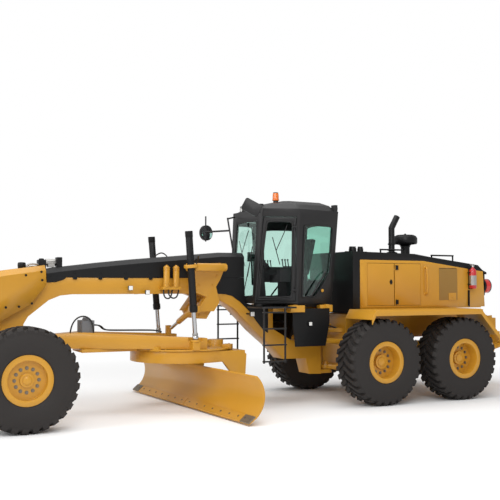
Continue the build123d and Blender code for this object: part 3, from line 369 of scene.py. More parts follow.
heads = add_node(bolt_tree, "GeometryNodeJoinGeometry")
for corners, radius_share, height_share in ((6, 1.0, 1.0), (18, 1.45, 0.28)):
    size = {
        "Radius": scaled(entry["Head Radius"], radius_share),
        "Depth": scaled(entry["Head Height"], height_share * 2),
    }
    head = add_node(bolt_tree, "GeometryNodeMeshCylinder", {"Vertices": corners}, size)
    bolt_tree.links.new(head.outputs["Mesh"], heads.inputs[0])
facing = add_node(bolt_tree, "GeometryNodeInputNamedAttribute")
facing.data_type = "FLOAT_VECTOR"
facing.inputs["Name"].default_value = "facing"
swing = add_node(bolt_tree, "FunctionNodeAlignRotationToVector", links={"Vector": facing.outputs[0]})
swing.axis = "Z"
stamp = add_node(bolt_tree, "GeometryNodeInstanceOnPoints", links={
    "Points": entry["Geometry"], "Instance": heads.outputs[0], "Rotation": swing.outputs["Rotation"],
})
real = add_node(bolt_tree, "GeometryNodeRealizeInstances", links={"Geometry": stamp.outputs["Instances"]})
coat = add_node(bolt_tree, "GeometryNodeSetMaterial", links={
    "Geometry": real.outputs["Geometry"], "Material": entry["Finish"],
})
add_node(bolt_tree, "NodeGroupOutput", links={0: coat.outputs["Geometry"]})


def bake(name, source, tree, settings, material, body):
    """Run a tree on a mesh and keep its result as one plain piece."""
    holder = bpy.data.objects.new(name + "_source", source)
    bpy.context.scene.collection.objects.link(holder)
    run = holder.modifiers.new("run", "NODES")
    run.node_group = tree
    for item in tree.interface.items_tree:
        if item.in_out == "INPUT" and item.name in settings:
            run[item.identifier] = settings[item.name]
    bpy.context.view_layer.update()
    held = bpy.data.meshes.new_from_object(holder.evaluated_get(bpy.context.evaluated_depsgraph_get()))
    bpy.data.objects.remove(holder)
    held.name = name
    if not held.materials:
        held.materials.append(material)
    return add_piece(name, held, body)


def bolts(name, body, rows, radius, height, material):
    """Bolt heads on one body: each row is a place and the way its head faces."""
    source = bpy.data.meshes.new(name + "_points")
    source.from_pydata([tuple(place) for place, _ in rows], [], [])
    way = source.attributes.new("facing", "FLOAT_VECTOR", "POINT")
    way.data.foreach_set("vector", [c for _, direction in rows for c in direction])
    settings = {"Head Radius": radius, "Head Height": height, "Finish": material}
    return bake(name, source, bolt_tree, settings, material, body)


def side_bolts(y, spots):
    """Rows for bolts on both sides of the machine, at one distance from its middle."""
    return [(at(station, side * y, z), (0, side, 0)) for side in (1, -1) for station, z in spots]


HOOD_BOLTS = (
    (6.46, 1.80), (6.46, 2.25), (6.46, 2.62), (7.94, 2.62), (8.86, 1.90), (8.86, 2.48), (8.98, 1.95),
    (8.98, 2.05), (8.98, 2.15), (8.06, 1.80), (8.30, 1.80), (8.84, 1.80),
)
bolts("hood_bolts", "root", side_bolts(WALL_Y, HOOD_BOLTS), 0.012, 0.006, yellow)

# Front frame, saddle, drawbar and circle: heavy weldments of flame-cut plate,
# in the same gloss yellow as the rear frame.
coat_nodes(("front_frame", "saddle", "drawbar", "drawbar_ball", "circle", "blade_bracket"), yellow)

# Frame cover: black folded sheet over the hydraulic lines on the front frame,
# with chamfered top edges and a deeper skirt at each end, held by bolts and by
# tabs along each side. Flat black panels close the frame's sides under the cab.
COVER_HALF = 0.215
SKIRT_INSIDE = 0.202
COVER_STATIONS = (
    (0.560, 2.475, 2.345), (0.756, 2.505, 2.330), (1.480, 2.592, 2.325), (2.079, 2.655, 2.325),
    (3.760, 2.805, 2.330), (4.228, 2.808, 2.340),
)
COVER_TABS = (1.042, 1.483, 1.937, 2.390, 2.840)
TAB_FACE = 0.222
FRONT_SKIRT = ((0.560, 2.345), (0.900, 2.330), (0.853, 2.290), (0.720, 2.250), (0.571, 2.241))
REAR_SKIRT = (
    (3.620, 2.330), (4.228, 2.339), (4.250, 1.865), (4.730, 1.770), (4.730, 1.300), (4.629, 1.358),
    (4.481, 1.529), (4.355, 1.699), (4.148, 1.888), (3.983, 2.000), (3.840, 2.035), (3.620, 2.045),
)
SIDE_PANEL = ((4.990, 1.765), (5.790, 1.765), (5.790, 1.500), (5.700, 1.060), (5.040, 1.060), (4.990, 1.500))
mesh = bmesh.new()
rings = []
for station, top, low in COVER_STATIONS:
    half = [(COVER_HALF, low), (COVER_HALF, top - 0.085), (0.135, top - 0.010), (0.05, top)]
    outline = half + [(-y, z) for y, z in reversed(half)]
    rings.append([mesh.verts.new(at(station, y, z)) for y, z in outline])
skin(mesh, rings, capped=True)
for side in (1, -1):
    slab(mesh, FRONT_SKIRT, (side * SKIRT_INSIDE, side * COVER_HALF))
    slab(mesh, REAR_SKIRT, (side * SKIRT_INSIDE, side * COVER_HALF))
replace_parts(new_piece("hose_cover", mesh, black, "front", 0.006), "frame_cover")
mesh = bmesh.new()
for side in (1, -1):
    for station in COVER_TABS:
        box(mesh, (station - 0.035, station + 0.035), (side * 0.214, side * TAB_FACE), (2.296, 2.345))
    slab(mesh, SIDE_PANEL, (side * 0.688, side * 0.700))
new_piece("cover_tabs", mesh, black, "front", 0.003)

# Nose: one yellow sheet folded over the front end of the frame, chamfered along
# both top edges and open underneath. Bolts on its sides and along the cover
# hold both to the frame.
NOSE_SIDE = (
    (0.530, 2.200), (0.520, 2.530), (-0.210, 2.430), (-0.600, 2.330), (-0.790, 2.060), (-0.790, 1.620),
    (-0.650, 1.480), (-0.420, 1.480), (-0.150, 1.640), (0.270, 1.880),
)
NOSE_HALF = 0.360
NOSE_FOLD = 0.090
NOSE_FOLD_LINE = ((0.5227, 2.440), (-0.210, 2.340), (-0.6518, 2.2564))
NOSE_BOLTS = ((0.450, 2.417), (0.464, 2.281), (-0.112, 1.840), (0.095, 1.850), (0.30, 1.90), (0.20, 2.36))
mesh = bmesh.new()
sheets = []
for side in (1, -1):
    side_line = NOSE_SIDE[:1] + NOSE_FOLD_LINE + NOSE_SIDE[4:]
    edge = [mesh.verts.new(at(station, side * NOSE_HALF, z)) for station, z in side_line]
    ridge = [mesh.verts.new(at(station, side * (NOSE_HALF - NOSE_FOLD), z)) for station, z in NOSE_SIDE[1:4]]
    mesh.faces.new(edge)
    skin(mesh, [edge[1:4], ridge], around=False)
    sheets.append((edge, ridge))
(left_edge, left_ridge), (right_edge, right_ridge) = sheets
skin(mesh, [left_ridge, right_ridge], around=False)
mesh.faces.new((left_ridge[2], left_edge[3], left_edge[4], right_edge[4], right_edge[3], right_ridge[2]))
mesh.faces.new((left_edge[4], left_edge[5], right_edge[5], right_edge[4]))
nose = new_piece("nose_hood", mesh, yellow, "front", 0.006, 20)
if nose.data.polygons[0].normal.y < 0:
    nose.data.flip_normals()
sheet = nose.modifiers.new("sheet", "SOLIDIFY")
sheet.thickness = 0.012
sheet.offset = -1.0
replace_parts(nose, "nose_cover")
front_bolts = (
    side_bolts(COVER_HALF, [(station, 2.413) for station in COVER_TABS])
    + side_bolts(TAB_FACE, [(station, 2.312) for station in COVER_TABS])
    + side_bolts(NOSE_HALF, NOSE_BOLTS)
)
bolts("front_frame_bolts", "front", front_bolts, 0.014, 0.010, black)

# Nose top: the hydraulic fittings that stand on the nose ahead of the cover, a
# horn, a grey filter block between black housings and the pipes along them.
HORN = ((0.05, 0.0), (0.05, 0.03), (0.065, 0.05), (0.068, 0.10), (0.06, 0.135), (0.02, 0.14))
mesh = bmesh.new()
turned(mesh, at(0.19, 0.05, 2.44), UP, HORN, 28)
box(mesh, (0.458, 0.586), (-0.07, 0.09), (2.44, 2.625))
turned(mesh, at(0.522, 0.01, 2.62), UP, ((0.045, 0.0), (0.045, 0.025), (0.02, 0.03)), 20)
box(mesh, (0.765, 0.853), (-0.05, 0.11), (2.49, 2.672))
new_piece("nose_valves", mesh, black, "front", 0.010)
mesh = bmesh.new()
turned(mesh, at(0.586, 0.02, 2.585), AFT, ((0.052, 0.0), (0.056, 0.004), (0.056, 0.172), (0.052, 0.178)), 28)
box(mesh, (0.62, 0.73), (-0.04, 0.08), (2.50, 2.56))
new_piece("nose_filter", mesh, steel, "front", 0.004)
nose_pipes = [
    [at(0.255, 0.06, 2.50), at(0.30, 0.06, 2.555), at(0.42, 0.06, 2.555), at(0.47, 0.06, 2.54)],
    [at(0.255, -0.05, 2.47), at(0.33, -0.05, 2.52), at(0.47, -0.05, 2.52)],
]
rail("nose_pipe", nose_pipes, 0.016, steel, "front", 0.03)

# Hoses: black rubber lines clamped at both ends, each drawn as one fixed spline that
# rides on a single body. They leave a fitting in its own direction.
hose_rubber = finish_material("hose_rubber", (0.014, 0.014, 0.014), 0.55, grain=0.25, grain_scale=240)


def hose(name, body, points, diameter):
    """A hose between two fittings, as one smooth spline."""
    piece = tube(name, [points], diameter / 2, 10, hose_rubber, body)
    plain = piece.data.copy()
    plain.bevel_depth = 0.0
    plain.use_fill_caps = False
    probe = bpy.data.objects.new(name + "_probe", plain)
    bpy.context.scene.collection.objects.link(probe)
    bpy.context.view_layer.update()
    line = bpy.data.meshes.new_from_object(probe.evaluated_get(bpy.context.evaluated_depsgraph_get()))
    bpy.data.objects.remove(probe)
    bpy.data.meshes.remove(line)
    bpy.data.curves.remove(plain)


HOSES = (
    ("accumulator_hose_front", "front", 0.026, (
        (2.60, 0.30, 2.122), (2.59, 0.32, 2.05), (2.62, 0.33, 1.97), (2.70, 0.33, 1.96), (2.75, 0.32, 2.04),
        (2.76, 0.30, 2.122),
    )),
    ("accumulator_hose_rear", "front", 0.026, (
        (2.68, 0.33, 2.122), (2.67, 0.34, 2.05), (2.73, 0.35, 1.97), (2.81, 0.35, 1.97), (2.86, 0.34, 2.04),
        (2.87, 0.33, 2.122),
    )),
    ("drawbar_hose", "drawbar_frame", 0.026, (
        (1.00, 0.10, 1.395), (1.01, 0.12, 1.52), (1.10, 0.18, 1.66), (1.24, 0.24, 1.68), (1.35, 0.27, 1.56),
        (1.36, 0.26, 1.392),
    )),
)
SIDE_HOSES = (
    ("lift_hose_upper", "front", 0.024, (
        (3.05, 0.55, 2.562), (3.03, 0.55, 2.68), (2.98, 0.66, 2.80), (2.92, 0.80, 2.82), (2.843, 0.866, 2.74),
    )),
    ("lift_hose_lower", "front", 0.024, (
        (3.10, 0.60, 2.562), (3.12, 0.62, 2.66), (3.08, 0.76, 2.72), (2.98, 0.88, 2.68), (2.912, 0.925, 2.62),
    )),
    ("hitch_hose", "front", 0.030, (
        (5.565, 0.10, 1.40), (5.75, 0.11, 1.46), (6.00, 0.14, 1.44), (6.25, 0.22, 1.36), (6.42, 0.29, 1.28),
        (6.50, 0.305, 1.22),
    )),
    ("ripper_hose", "root", 0.022, (
        (9.545, 0.30, 1.50), (9.60, 0.30, 1.56), (9.64, 0.33, 1.66), (9.66, 0.39, 1.66), (9.625, 0.41, 1.585),
    )),
)
for name, body, diameter, route in HOSES:
    hose(name, body, [at(*place) for place in route], diameter)
for side_name, side in SIDES:
    for name, body, diameter, route in SIDE_HOSES:
        hose(f"{name}_{side_name}", body, [at(station, side * y, z) for station, y, z in route], diameter)

# Work lamps: square black housings with a white lens at the front, on short
# bars that are welded to the frame's sides and under the cab.
lens = finish_material("white_lamp_lens", (0.80, 0.80, 0.78), 0.15, coat=0.7, mottle=0.02)
WORK_LAMPS = (
    (1.990, 0.30, 2.150, 0.050), (2.300, 0.30, 2.075, 0.050), (4.286, 0.42, 1.669, 0.055),
    (5.346, 0.72, 1.481, 0.045),
)
mesh = bmesh.new()
shine = bmesh.new()
for side in (1, -1):
    for station, y, z, half in WORK_LAMPS:
        y = side * y
        housing = ((half * 0.5, 0.0), (half * 0.9, 0.02), (half * 1.1, 0.06), (half * 1.1, 0.085))
        front = ((half * 0.98, 0.0), (half * 0.98, 0.003), (half * 0.5, 0.006))
        turned(mesh, at(station, y - side * 0.06, z), (0, side, 0), housing, 4)
        turned(shine, at(station, y + side * 0.0245, z), (0, side, 0), front, 4)
        bar(mesh, at(station, side * 0.20, z), at(station, y - side * 0.05, z), 0.014)
new_piece("work_lamp_housings", mesh, black, "front", 0.004)
new_piece("work_lamp_lenses", shine, lens, "front")

# Saddle: castings on both sides of the beam with a bolted cap on each lift
# arm's pin, and two ribbed accumulators in a clamp with a smooth yellow shell.
SADDLE_BOLTS = ((3.20, 2.50), (3.40, 2.52), (3.60, 2.50), (3.22, 2.20), (3.50, 2.20), (3.58, 2.36))
SADDLE_FOOT_BOLTS = ((3.30, 1.66), (3.44, 1.70), (3.52, 1.84))
saddle_bolts = side_bolts(0.420, SADDLE_BOLTS) + side_bolts(0.285, SADDLE_FOOT_BOLTS)
bolts("saddle_bolts", "front", saddle_bolts, 0.020, 0.014, yellow)
PIN_CAP = ((0.060, 0.0), (0.060, 0.012), (0.045, 0.018), (0.01, 0.018))
RIB = ((0.0555, 0.0), (0.061, 0.003), (0.061, 0.013), (0.0555, 0.016))
DOME_END = ((0.050, 0.0), (0.044, 0.025), (0.02, 0.032), (0.015, 0.045))
mesh = bmesh.new()
for side in (1, -1):
    turned(mesh, at(3.74, side * 0.44, 2.52), AFT, PIN_CAP)
    turned(mesh, at(2.99, side * 0.44, 2.52), AHEAD, PIN_CAP)
for station in (2.640, 2.820):
    for z in (2.165, 2.22, 2.46, 2.500):
        turned(mesh, at(station, 0.340, z), UP, RIB)
    turned(mesh, at(station, 0.340, 2.510), UP, DOME_END)
new_piece("saddle_fittings", mesh, yellow, "front", 0.002)

# Lift cylinders: a port cap on top of each black barrel, a gland closed by a
# thin ring at its foot and a hard line down its outer side. A bright collar is
# screwed on the rod's end, over a ball in a yellow socket on the drawbar.
BALL_STATION = 2.956
BALL_Y = 0.899
BOLT_RING = 0.077
GLAND_SHARE = 0.76
TOP = {side: at(2.813, side * 0.935, 3.125) for _, side in SIDES}
BALL = {side: at(BALL_STATION, side * BALL_Y, 1.300) for _, side in SIDES}
PORT_CAP = ((0.062, 0.0), (0.0665, 0.004), (0.0665, 0.100), (0.062, 0.110))
GLAND = ((0.062, 0.0), (0.071, 0.004), (0.071, 0.085), (0.066, 0.090), (0.066, 0.109), (0.062, 0.109))
GLAND_RING = ((0.040, 0.0), (0.058, 0.0), (0.058, 0.004), (0.040, 0.004))
CLAMP = ((0.062, 0.0), (0.069, 0.003), (0.069, 0.020), (0.062, 0.023))
COLLAR = ((0.039, 0.0), (0.046, 0.005), (0.049, 0.020), (0.049, 0.040), (0.040, 0.048))
SOCKET = ((0.088, 0.0), (0.088, 0.022), (0.076, 0.028), (0.060, 0.034), (0.058, 0.020))
for side_name, side in SIDES:
    top, ball = TOP[side], BALL[side]
    down = (ball - top).normalized()
    length = (ball - top).length
    gland = length * GLAND_SHARE
    mesh = bmesh.new()
    for start, profile in (
        (0.0, PORT_CAP), (gland - 0.11, GLAND), (gland, GLAND_RING), (length * 0.275, CLAMP),
    ):
        turned(mesh, top + down * start, down, profile, hollow=True)
    outward = Vector((0, side, 0))
    bar(mesh, top + down * 0.08 + outward * 0.078, top + down * (length * 0.26) + outward * 0.078, 0.010)
    for share in (0.06, 0.2):
        port = top + down * (length * share)
        bar(mesh, port + outward * 0.05, port + outward * 0.082, 0.016)
    new_piece(f"lift_barrel_fittings_{side_name}", mesh, black, f"lift_barrel_{side_name}")
    mesh = bmesh.new()
    turned(mesh, ball - down * 0.082, down, COLLAR)
    new_piece(f"lift_rod_fittings_{side_name}", mesh, steel, f"lift_rod_{side_name}")
mesh = bmesh.new()
ball_bolts = []
for side in (1, -1):
    y = side * BALL_Y
    turned(mesh, at(BALL_STATION, y, 1.232), UP, SOCKET)
    for step in range(6):
        turn = math.radians(60 * step + 30)
        spot = at(BALL_STATION + BOLT_RING * math.cos(turn), y + BOLT_RING * math.sin(turn) * 0.8, 1.252)
        ball_bolts.append((spot, UP))
new_piece("ball_sockets", mesh, yellow, "drawbar_frame")
bolts("ball_socket_bolts", "drawbar_frame", ball_bolts, 0.009, 0.007, steel)

# Cab: a charcoal frame of welded tube and sheet with green tinted safety glass
# in its doors and walls, and a trim of grained black plastic inside.
charcoal = finish_material("cab_charcoal_paint", (0.017, 0.0165, 0.017), 0.42,
                           coat=0.05, grain=0.05, grain_scale=150, gleam=0.3)
glass = bpy.data.materials.new("green_tinted_glass")
glass.use_nodes = True
wire(glass.node_tree, glass.node_tree.nodes["Principled BSDF"], {
    "Base Color": (0.50, 0.76, 0.67, 1), "Roughness": 0.02, "IOR": 1.45, "Transmission Weight": 1.0,
})
trim = finish_material("cab_grained_trim", (0.025, 0.025, 0.027), 0.6,
                       grain=0.3, grain_scale=200)
coat_nodes(["cab_shell", "mirrors", "ladders"] + both("cab_door"), charcoal)
coat_nodes(("cab_glass",), glass, 0)
coat_nodes(("cab_interior",), trim, 0.02)

# Cab fittings: rubber gaskets pressed round the panes, hinges, a pull and trim
# on each door, and wipers on the doors and the windscreen. Under the cab stand
# the yellow mounts that bolt it to the front frame.
gasket = finish_material("gasket_rubber", (0.010, 0.010, 0.010), 0.6)
SILL = ((4.280, 0.520), (5.050, 0.790), (5.900, 0.600))
EAVES = ((4.400, 0.627), (5.050, 0.855), (6.030, 0.636))
SILL_Z = 1.860
EAVES_Z = 3.550
DOOR_FRAME = ((0.085, 0.110), (0.710, 0.110), (0.720, 1.520), (0.210, 1.520))
REAR_FRAME = ((0.095, 0.115), (0.440, 0.115), (0.815, 0.595), (0.865, 1.465), (0.095, 1.465))
GASKET_OUT = 0.012
GRIP_RAIL = ((5.709, 0.66, 2.450), (5.690, 0.72, 2.440), (5.330, 0.80, 1.990), (5.309, 0.74, 1.977))


def wall_point(wall, side, along, up, out):
    """A place on a side wall of the cab: wall 0 is the door's, wall 1 the rear one's."""
    low = at(SILL[wall][0], side * SILL[wall][1], SILL_Z)
    low_end = at(SILL[wall + 1][0], side * SILL[wall + 1][1], SILL_Z)
    high = at(EAVES[wall][0], side * EAVES[wall][1], EAVES_Z)
    across = (low_end - low).normalized()
    rise = high - low
    rise = (rise - across * rise.dot(across)).normalized()
    face = across.cross(rise)
    if face.y * side < 0:
        face = -face
    return low + across * along + rise * up + face * out


def on_door(side, *rows):
    """Places on a side's door, from rows of along, up and out."""
    return [wall_point(0, side, *row) for row in rows]


for side_name, side in SIDES:
    door = f"cab_door_{side_name}"
    ring = on_door(side, *((u, v, GASKET_OUT) for u, v in DOOR_FRAME))
    rail(f"door_gasket_{side_name}", [ring + ring[:1]], 0.013, gasket, door, 0.06)
    ring = [wall_point(1, side, u, v, GASKET_OUT) for u, v in REAR_FRAME]
    rail(f"side_gasket_{side_name}", [ring + ring[:1]], 0.013, gasket, "front", 0.06)
    mesh = bmesh.new()
    for low, high in ((0.20, 0.30), (1.36, 1.46)):
        middle = (low + high) / 2
        for out in (0.010, 0.024):
            bar(mesh, *on_door(side, (0.770, low, out), (0.770, high, out)), 0.012)
        bar(mesh, *on_door(side, (0.700, middle, 0.018), (0.785, middle, 0.018)), 0.016)
    bar(mesh, *on_door(side, (0.072, 0.60, 0.008), (0.072, 0.75, 0.008)), 0.020)
    new_piece(f"door_hinges_cab_{side_name}", mesh, charcoal, door, 0.002)
    pull = on_door(side, (0.125, 0.55, 0.0), (0.125, 0.55, 0.045), (0.160, 0.98, 0.045), (0.160, 0.98, 0.0))
    rail(f"door_pull_{side_name}", [pull], 0.011, charcoal, door, 0.03)
    arm = on_door(side, (0.60, 1.44, 0.014), (0.58, 1.38, 0.026), (0.40, 0.98, 0.026))
    blade = on_door(side, (0.47, 0.72, 0.020), (0.33, 1.22, 0.020))
    rail(f"door_wiper_{side_name}", [arm, blade], 0.008, gasket, door, 0.02)
    trim_line = on_door(side, (0.075, 0.078, 0.008), (0.735, 0.078, 0.008), (0.740, 1.500, 0.008))
    rail(f"door_trim_{side_name}", [trim_line], 0.009, trim, door, 0.09)
    grip = [at(station, side * y, z) for station, y, z in GRIP_RAIL]
    rail(f"cab_rails_{side_name}", [grip], 0.016, charcoal, "front", 0.05)
    mesh = bmesh.new()
    box(mesh, (4.887, 5.194), (side * 0.70, side * 0.80), (1.700, 1.827))
    box(mesh, (5.589, 5.863), (side * 0.56, side * 0.695), (1.700, 1.829))
    turned(mesh, at(5.643, side * 0.66, 2.100), (0, side, 0), ((0.03, 0.0), (0.03, 0.03), (0.018, 0.036)), 20)
    new_piece(f"cab_mounts_{side_name}", mesh, yellow, "front", 0.006)

ring = [at(4.296, 0.445, 1.985), at(4.394, 0.445, 3.405), at(4.394, -0.445, 3.405), at(4.296, -0.445, 1.985)]
back = [at(6.000, 0.505, 2.295), at(6.000, 0.505, 3.385), at(6.000, -0.505, 3.385), at(6.000, -0.505, 2.295)]
rail("windscreen_gasket", [ring + ring[:1], back + back[:1]], 0.012, gasket, "front", 0.06)
screen_arm = [at(4.275, 0.10, 1.96), at(4.262, 0.12, 2.05), at(4.300, 0.30, 2.62)]
screen_blade = [at(4.285, 0.24, 2.36), at(4.325, 0.36, 2.92)]
rail("windscreen_wiper", [screen_arm, screen_blade], 0.008, gasket, "front", 0.02)

# Roof lamps: white lenses in charcoal bezels on the roof's front and rear, and
# the amber dome of the beacon on its pole above the roof.
orange = finish_material("beacon_amber", (0.80, 0.17, 0.01), 0.15, coat=0.7)
ROOF_LAMPS = (
    (4.480, -0.420, 1), (4.560, -0.140, 1), (4.560, 0.160, 1), (5.960, -0.560, -1), (5.960, 0.560, -1),
)
DOME = (
    (0.062, 0.0), (0.066, 0.006), (0.066, 0.02), (0.060, 0.024), (0.058, 0.10), (0.052, 0.138),
    (0.030, 0.152), (0.004, 0.154),
)
mesh = bmesh.new()
shine = bmesh.new()
for station, y, way in ROOF_LAMPS:
    face = at(station if way > 0 else station + 0.070, y, 3.675)
    turned(shine, face, (way, 0, 0), ((0.046, 0.0), (0.046, 0.004), (0.030, 0.009), (0.008, 0.011)), 28)
    turned(mesh, face, (way, 0, 0), ((0.058, -0.05), (0.058, 0.006), (0.048, 0.006), (0.046, -0.004)), 28)
new_piece("roof_lamp_bezels", mesh, charcoal, "front")
new_piece("roof_lamp_lenses", shine, lens, "front")
mesh = bmesh.new()
turned(mesh, at(4.850, 0.300, 3.800), UP, DOME, 36)
new_piece("beacon_dome", mesh, orange, "front")

# Mirror: a disc of silvered glass pressed into the head on the right side,
# where it looks aft.
silver = finish_material("silvered_glass", (0.75, 0.78, 0.80), 0.05, metallic=1.0, mottle=0.01)
MIRROR = ((0.138, 0.0), (0.138, 0.004), (0.10, 0.007), (0.03, 0.008))
mesh = bmesh.new()
turned(mesh, at(3.945, -0.870, 3.230), (-0.02, 0.06, 0), MIRROR, 36)
new_piece("mirror_glass", mesh, silver, "front")

# Seat and controls: a head pad on two posts, arm rests with levers, a display
# on its stalk and a plain steering wheel rim, moulded in grained black plastic
# over steel.
WHEEL_CENTRE = at(4.690, 0, 2.60)
WHEEL_TILT = math.radians(35)
WHEEL_RADIUS = 0.175
GRIP_RADIUS = 0.014
LEVER_KNOB = ((0.008, 0.0), (0.018, 0.012), (0.018, 0.025), (0.008, 0.036))
sideways = Vector((0, 1, 0))
across = Vector((math.cos(WHEEL_TILT), 0, math.sin(WHEEL_TILT)))
lift = across.cross(sideways)
mesh = bmesh.new()
rings = []
for step in range(36):
    turn = 2 * math.pi * step / 36
    outward = across * math.cos(turn) + sideways * math.sin(turn)
    ring = []
    for part in range(8):
        bend = 2 * math.pi * part / 8
        reach = outward * (WHEEL_RADIUS + GRIP_RADIUS * math.cos(bend))
        ring.append(mesh.verts.new(WHEEL_CENTRE + reach + lift * (GRIP_RADIUS * math.sin(bend))))
    rings.append(ring)
skin(mesh, rings + rings[:1])
new_piece("steering_wheel_rim", mesh, trim, "front")
mesh = bmesh.new()
box(mesh, (5.50, 5.60), (-0.14, 0.14), (3.12, 3.30))
for y in (-0.07, 0.07):
    bar(mesh, at(5.55, y, 3.02), at(5.55, y, 3.16), 0.010)
for side in (1, -1):
    box(mesh, (5.00, 5.42), (side * 0.30, side * 0.40), (2.50, 2.56))
    for station in (4.98, 5.04, 5.10):
        bar(mesh, at(station, side * 0.35, 2.55), at(station - 0.02, side * 0.35, 2.67), 0.010)
        turned(mesh, at(station - 0.02, side * 0.35, 2.66), UP, LEVER_KNOB, 16)
    box(mesh, (4.88, 5.10), (side * 0.27, side * 0.43), (2.26, 2.50))
box(mesh, (4.58, 4.66), (-0.36, -0.14), (2.66, 2.84))
bar(mesh, at(4.64, -0.25, 2.20), at(4.62, -0.25, 2.70), 0.018)
box(mesh, (5.62, 5.86), (-0.46, 0.46), (1.92, 2.28))
new_piece("seat_fittings", mesh, trim, "front", 0.008)

# Front axle: a cast beam with lean yokes and forged knuckles on its ends,
# joined across by the tie rod and the lean bar, all in the machine's yellow.
coat_nodes(["front_axle", "tie_rod", "lean_bar"] + both("lean_yoke", "knuckle"), yellow, 0.008)

# Hydraulic cylinders: drawn steel barrels over hard chrome rods. The lift and
# ripper barrels are black, and the centreshift and articulation ones yellow.
chrome = finish_material("hard_chrome", (0.55, 0.55, 0.56), 0.16, metallic=1.0, mottle=0.02)
coat_nodes(both("lift_barrel") + ["ripper_barrels"], black, 0.004)
coat_nodes(["centreshift_barrel"] + both("articulation_barrel"), yellow, 0.004)
coat_nodes(both("lift_rod", "articulation_rod") + ["centreshift_rod", "ripper_rods"], chrome, 0)

# Moldboard and ripper: thick plate, rolled for the moldboard and flame-cut for
# the ripper's links and shanks, painted yellow like the frames.
coat_nodes(("moldboard",), yellow, 0.004)
coat_nodes(("ripper_lower_link", "ripper_upper_link", "ripper_beam"), yellow)

# Circle fittings: four guide shoes that carry the ring under the drawbar, each
# with two bolts, and the bolts of the cover disc. The drawbar has a grey valve
# block and three hard lines from it over the left arm.
CIRCLE_CENTRE = at(3.050, 0, 0)
SHOE_TOP_Z = 1.150
DISC_TOP_Z = 1.094
DISC_BOLT_RADIUS = 0.916
DISC_BOLTS = 24
VALVE_PORT = ((0.030, 0.0), (0.030, 0.02), (0.018, 0.024), (0.018, 0.045))
shoe_bolts = []
mesh = bmesh.new()
for turn in (40, 140, 220, 320):
    way = Vector((math.cos(math.radians(turn)), math.sin(math.radians(turn)), 0))
    across = Vector((-way.y, way.x, 0))
    rows = []
    for z in (1.066, SHOE_TOP_Z):
        centre = CIRCLE_CENTRE + Vector((0, 0, z))
        corners = ((0.80, -0.11), (0.80, 0.11), (0.955, 0.08), (0.955, -0.08))
        rows.append([mesh.verts.new(centre + way * out + across * wide) for out, wide in corners])
    skin(mesh, rows, capped=True)
    for wide in (-0.06, 0.06):
        shoe_bolts.append((CIRCLE_CENTRE + way * 0.89 + across * wide + Vector((0, 0, SHOE_TOP_Z)), UP))
new_piece("circle_shoes", mesh, yellow, "drawbar_frame", 0.005)
for step in range(DISC_BOLTS):
    turn = math.radians(360 / DISC_BOLTS * step + 7)
    spot = CIRCLE_CENTRE + Vector((math.cos(turn), math.sin(turn), 0)) * DISC_BOLT_RADIUS
    shoe_bolts.append((spot + Vector((0, 0, DISC_TOP_Z)), UP))
bolts("circle_bolts", "drawbar_frame", shoe_bolts, 0.014, 0.010, yellow)
mesh = bmesh.new()
box(mesh, (1.170, 1.385), (-0.10, 0.22), (1.385, 1.600))
for y in (-0.05, 0.03, 0.11, 0.19):
    turned(mesh, at(1.275, y - 0.01, 1.600), UP, VALVE_PORT, 20)
new_piece("drawbar_valve", mesh, iron, "drawbar_frame", 0.006)
LINE_ROUTE = (
    (1.385, 0.0, 1.52), (1.50, 0.0, 1.52), (1.56, 0.0, 1.43), (1.75, 0.16, 1.43), (2.35, 0.40, 1.43),
    (2.45, 0.42, 1.40),
)
lines = [[at(station, 0.20 - 0.045 * k + y, z) for station, y, z in LINE_ROUTE] for k in range(3)]
rail("drawbar_lines", lines, 0.012, black, "drawbar_frame", 0.04)

# Moldboard fittings: a yellow cutting edge and bare end bits of wear steel,
# bolted along the plate's foot with the heads of their bolts in a row.
# The same dark worn steel colours the wheel nuts, where its darkness is painted shade.
wear_steel_and_nut_shade = finish_material("worn_steel_and_nut_shade", (0.22, 0.185, 0.14), 0.5,
                       metallic=0.7, grain=0.3, grain_scale=45, mottle=0.2)
BLADE_YAW = math.radians(3.0)
BLADE_HALF = 4.877 / 2
FOOT_TOP = (-0.1620, 0.1360)
FOOT_TIP = (-0.0400, 0.0340)
FOOT_FACE = (0.641, 0.767)
BOLT_PITCH = 0.30


def foot_point(y, down, out):
    """A place on the straight foot of the plate: along it, down it from 0 to 1, and off its face."""
    x = FOOT_TOP[0] + (FOOT_TIP[0] - FOOT_TOP[0]) * down + FOOT_FACE[0] * out
    z = FOOT_TOP[1] + (FOOT_TIP[1] - FOOT_TOP[1]) * down + FOOT_FACE[1] * out
    cos, sin = math.cos(BLADE_YAW), math.sin(BLADE_YAW)
    return CIRCLE_CENTRE + Vector((x * cos - y * sin, x * sin + y * cos, z))


edge_bolts = []
off_face = (foot_point(0, 0, 1) - foot_point(0, 0, 0)).normalized()
for name, spans, thick, material in (
    ("cutting_edge", ((-2.130, -0.01), (0.01, 2.130)), 0.014, yellow),
    ("end_bits", ((-BLADE_HALF, -2.136), (2.136, BLADE_HALF)), 0.020, wear_steel_and_nut_shade),
):
    section = ((0.0, 0.0), (0.0, thick), (0.94, thick), (1.0, 0.0))
    mesh = bmesh.new()
    for span in spans:
        rows = [[mesh.verts.new(foot_point(y, down, out)) for down, out in section] for y in span]
        skin(mesh, rows, capped=True)
        low, high = span
        count = max(2, round((high - low) / BOLT_PITCH))
        for step in range(count):
            edge_bolts.append((foot_point(low + (high - low) * (step + 0.5) / count, 0.42, thick), off_face))
    new_piece(name, mesh, material, "blade", 0.003)
bolts("edge_bolts", "blade", edge_bolts, 0.013, 0.008, wear_steel_and_nut_shade)

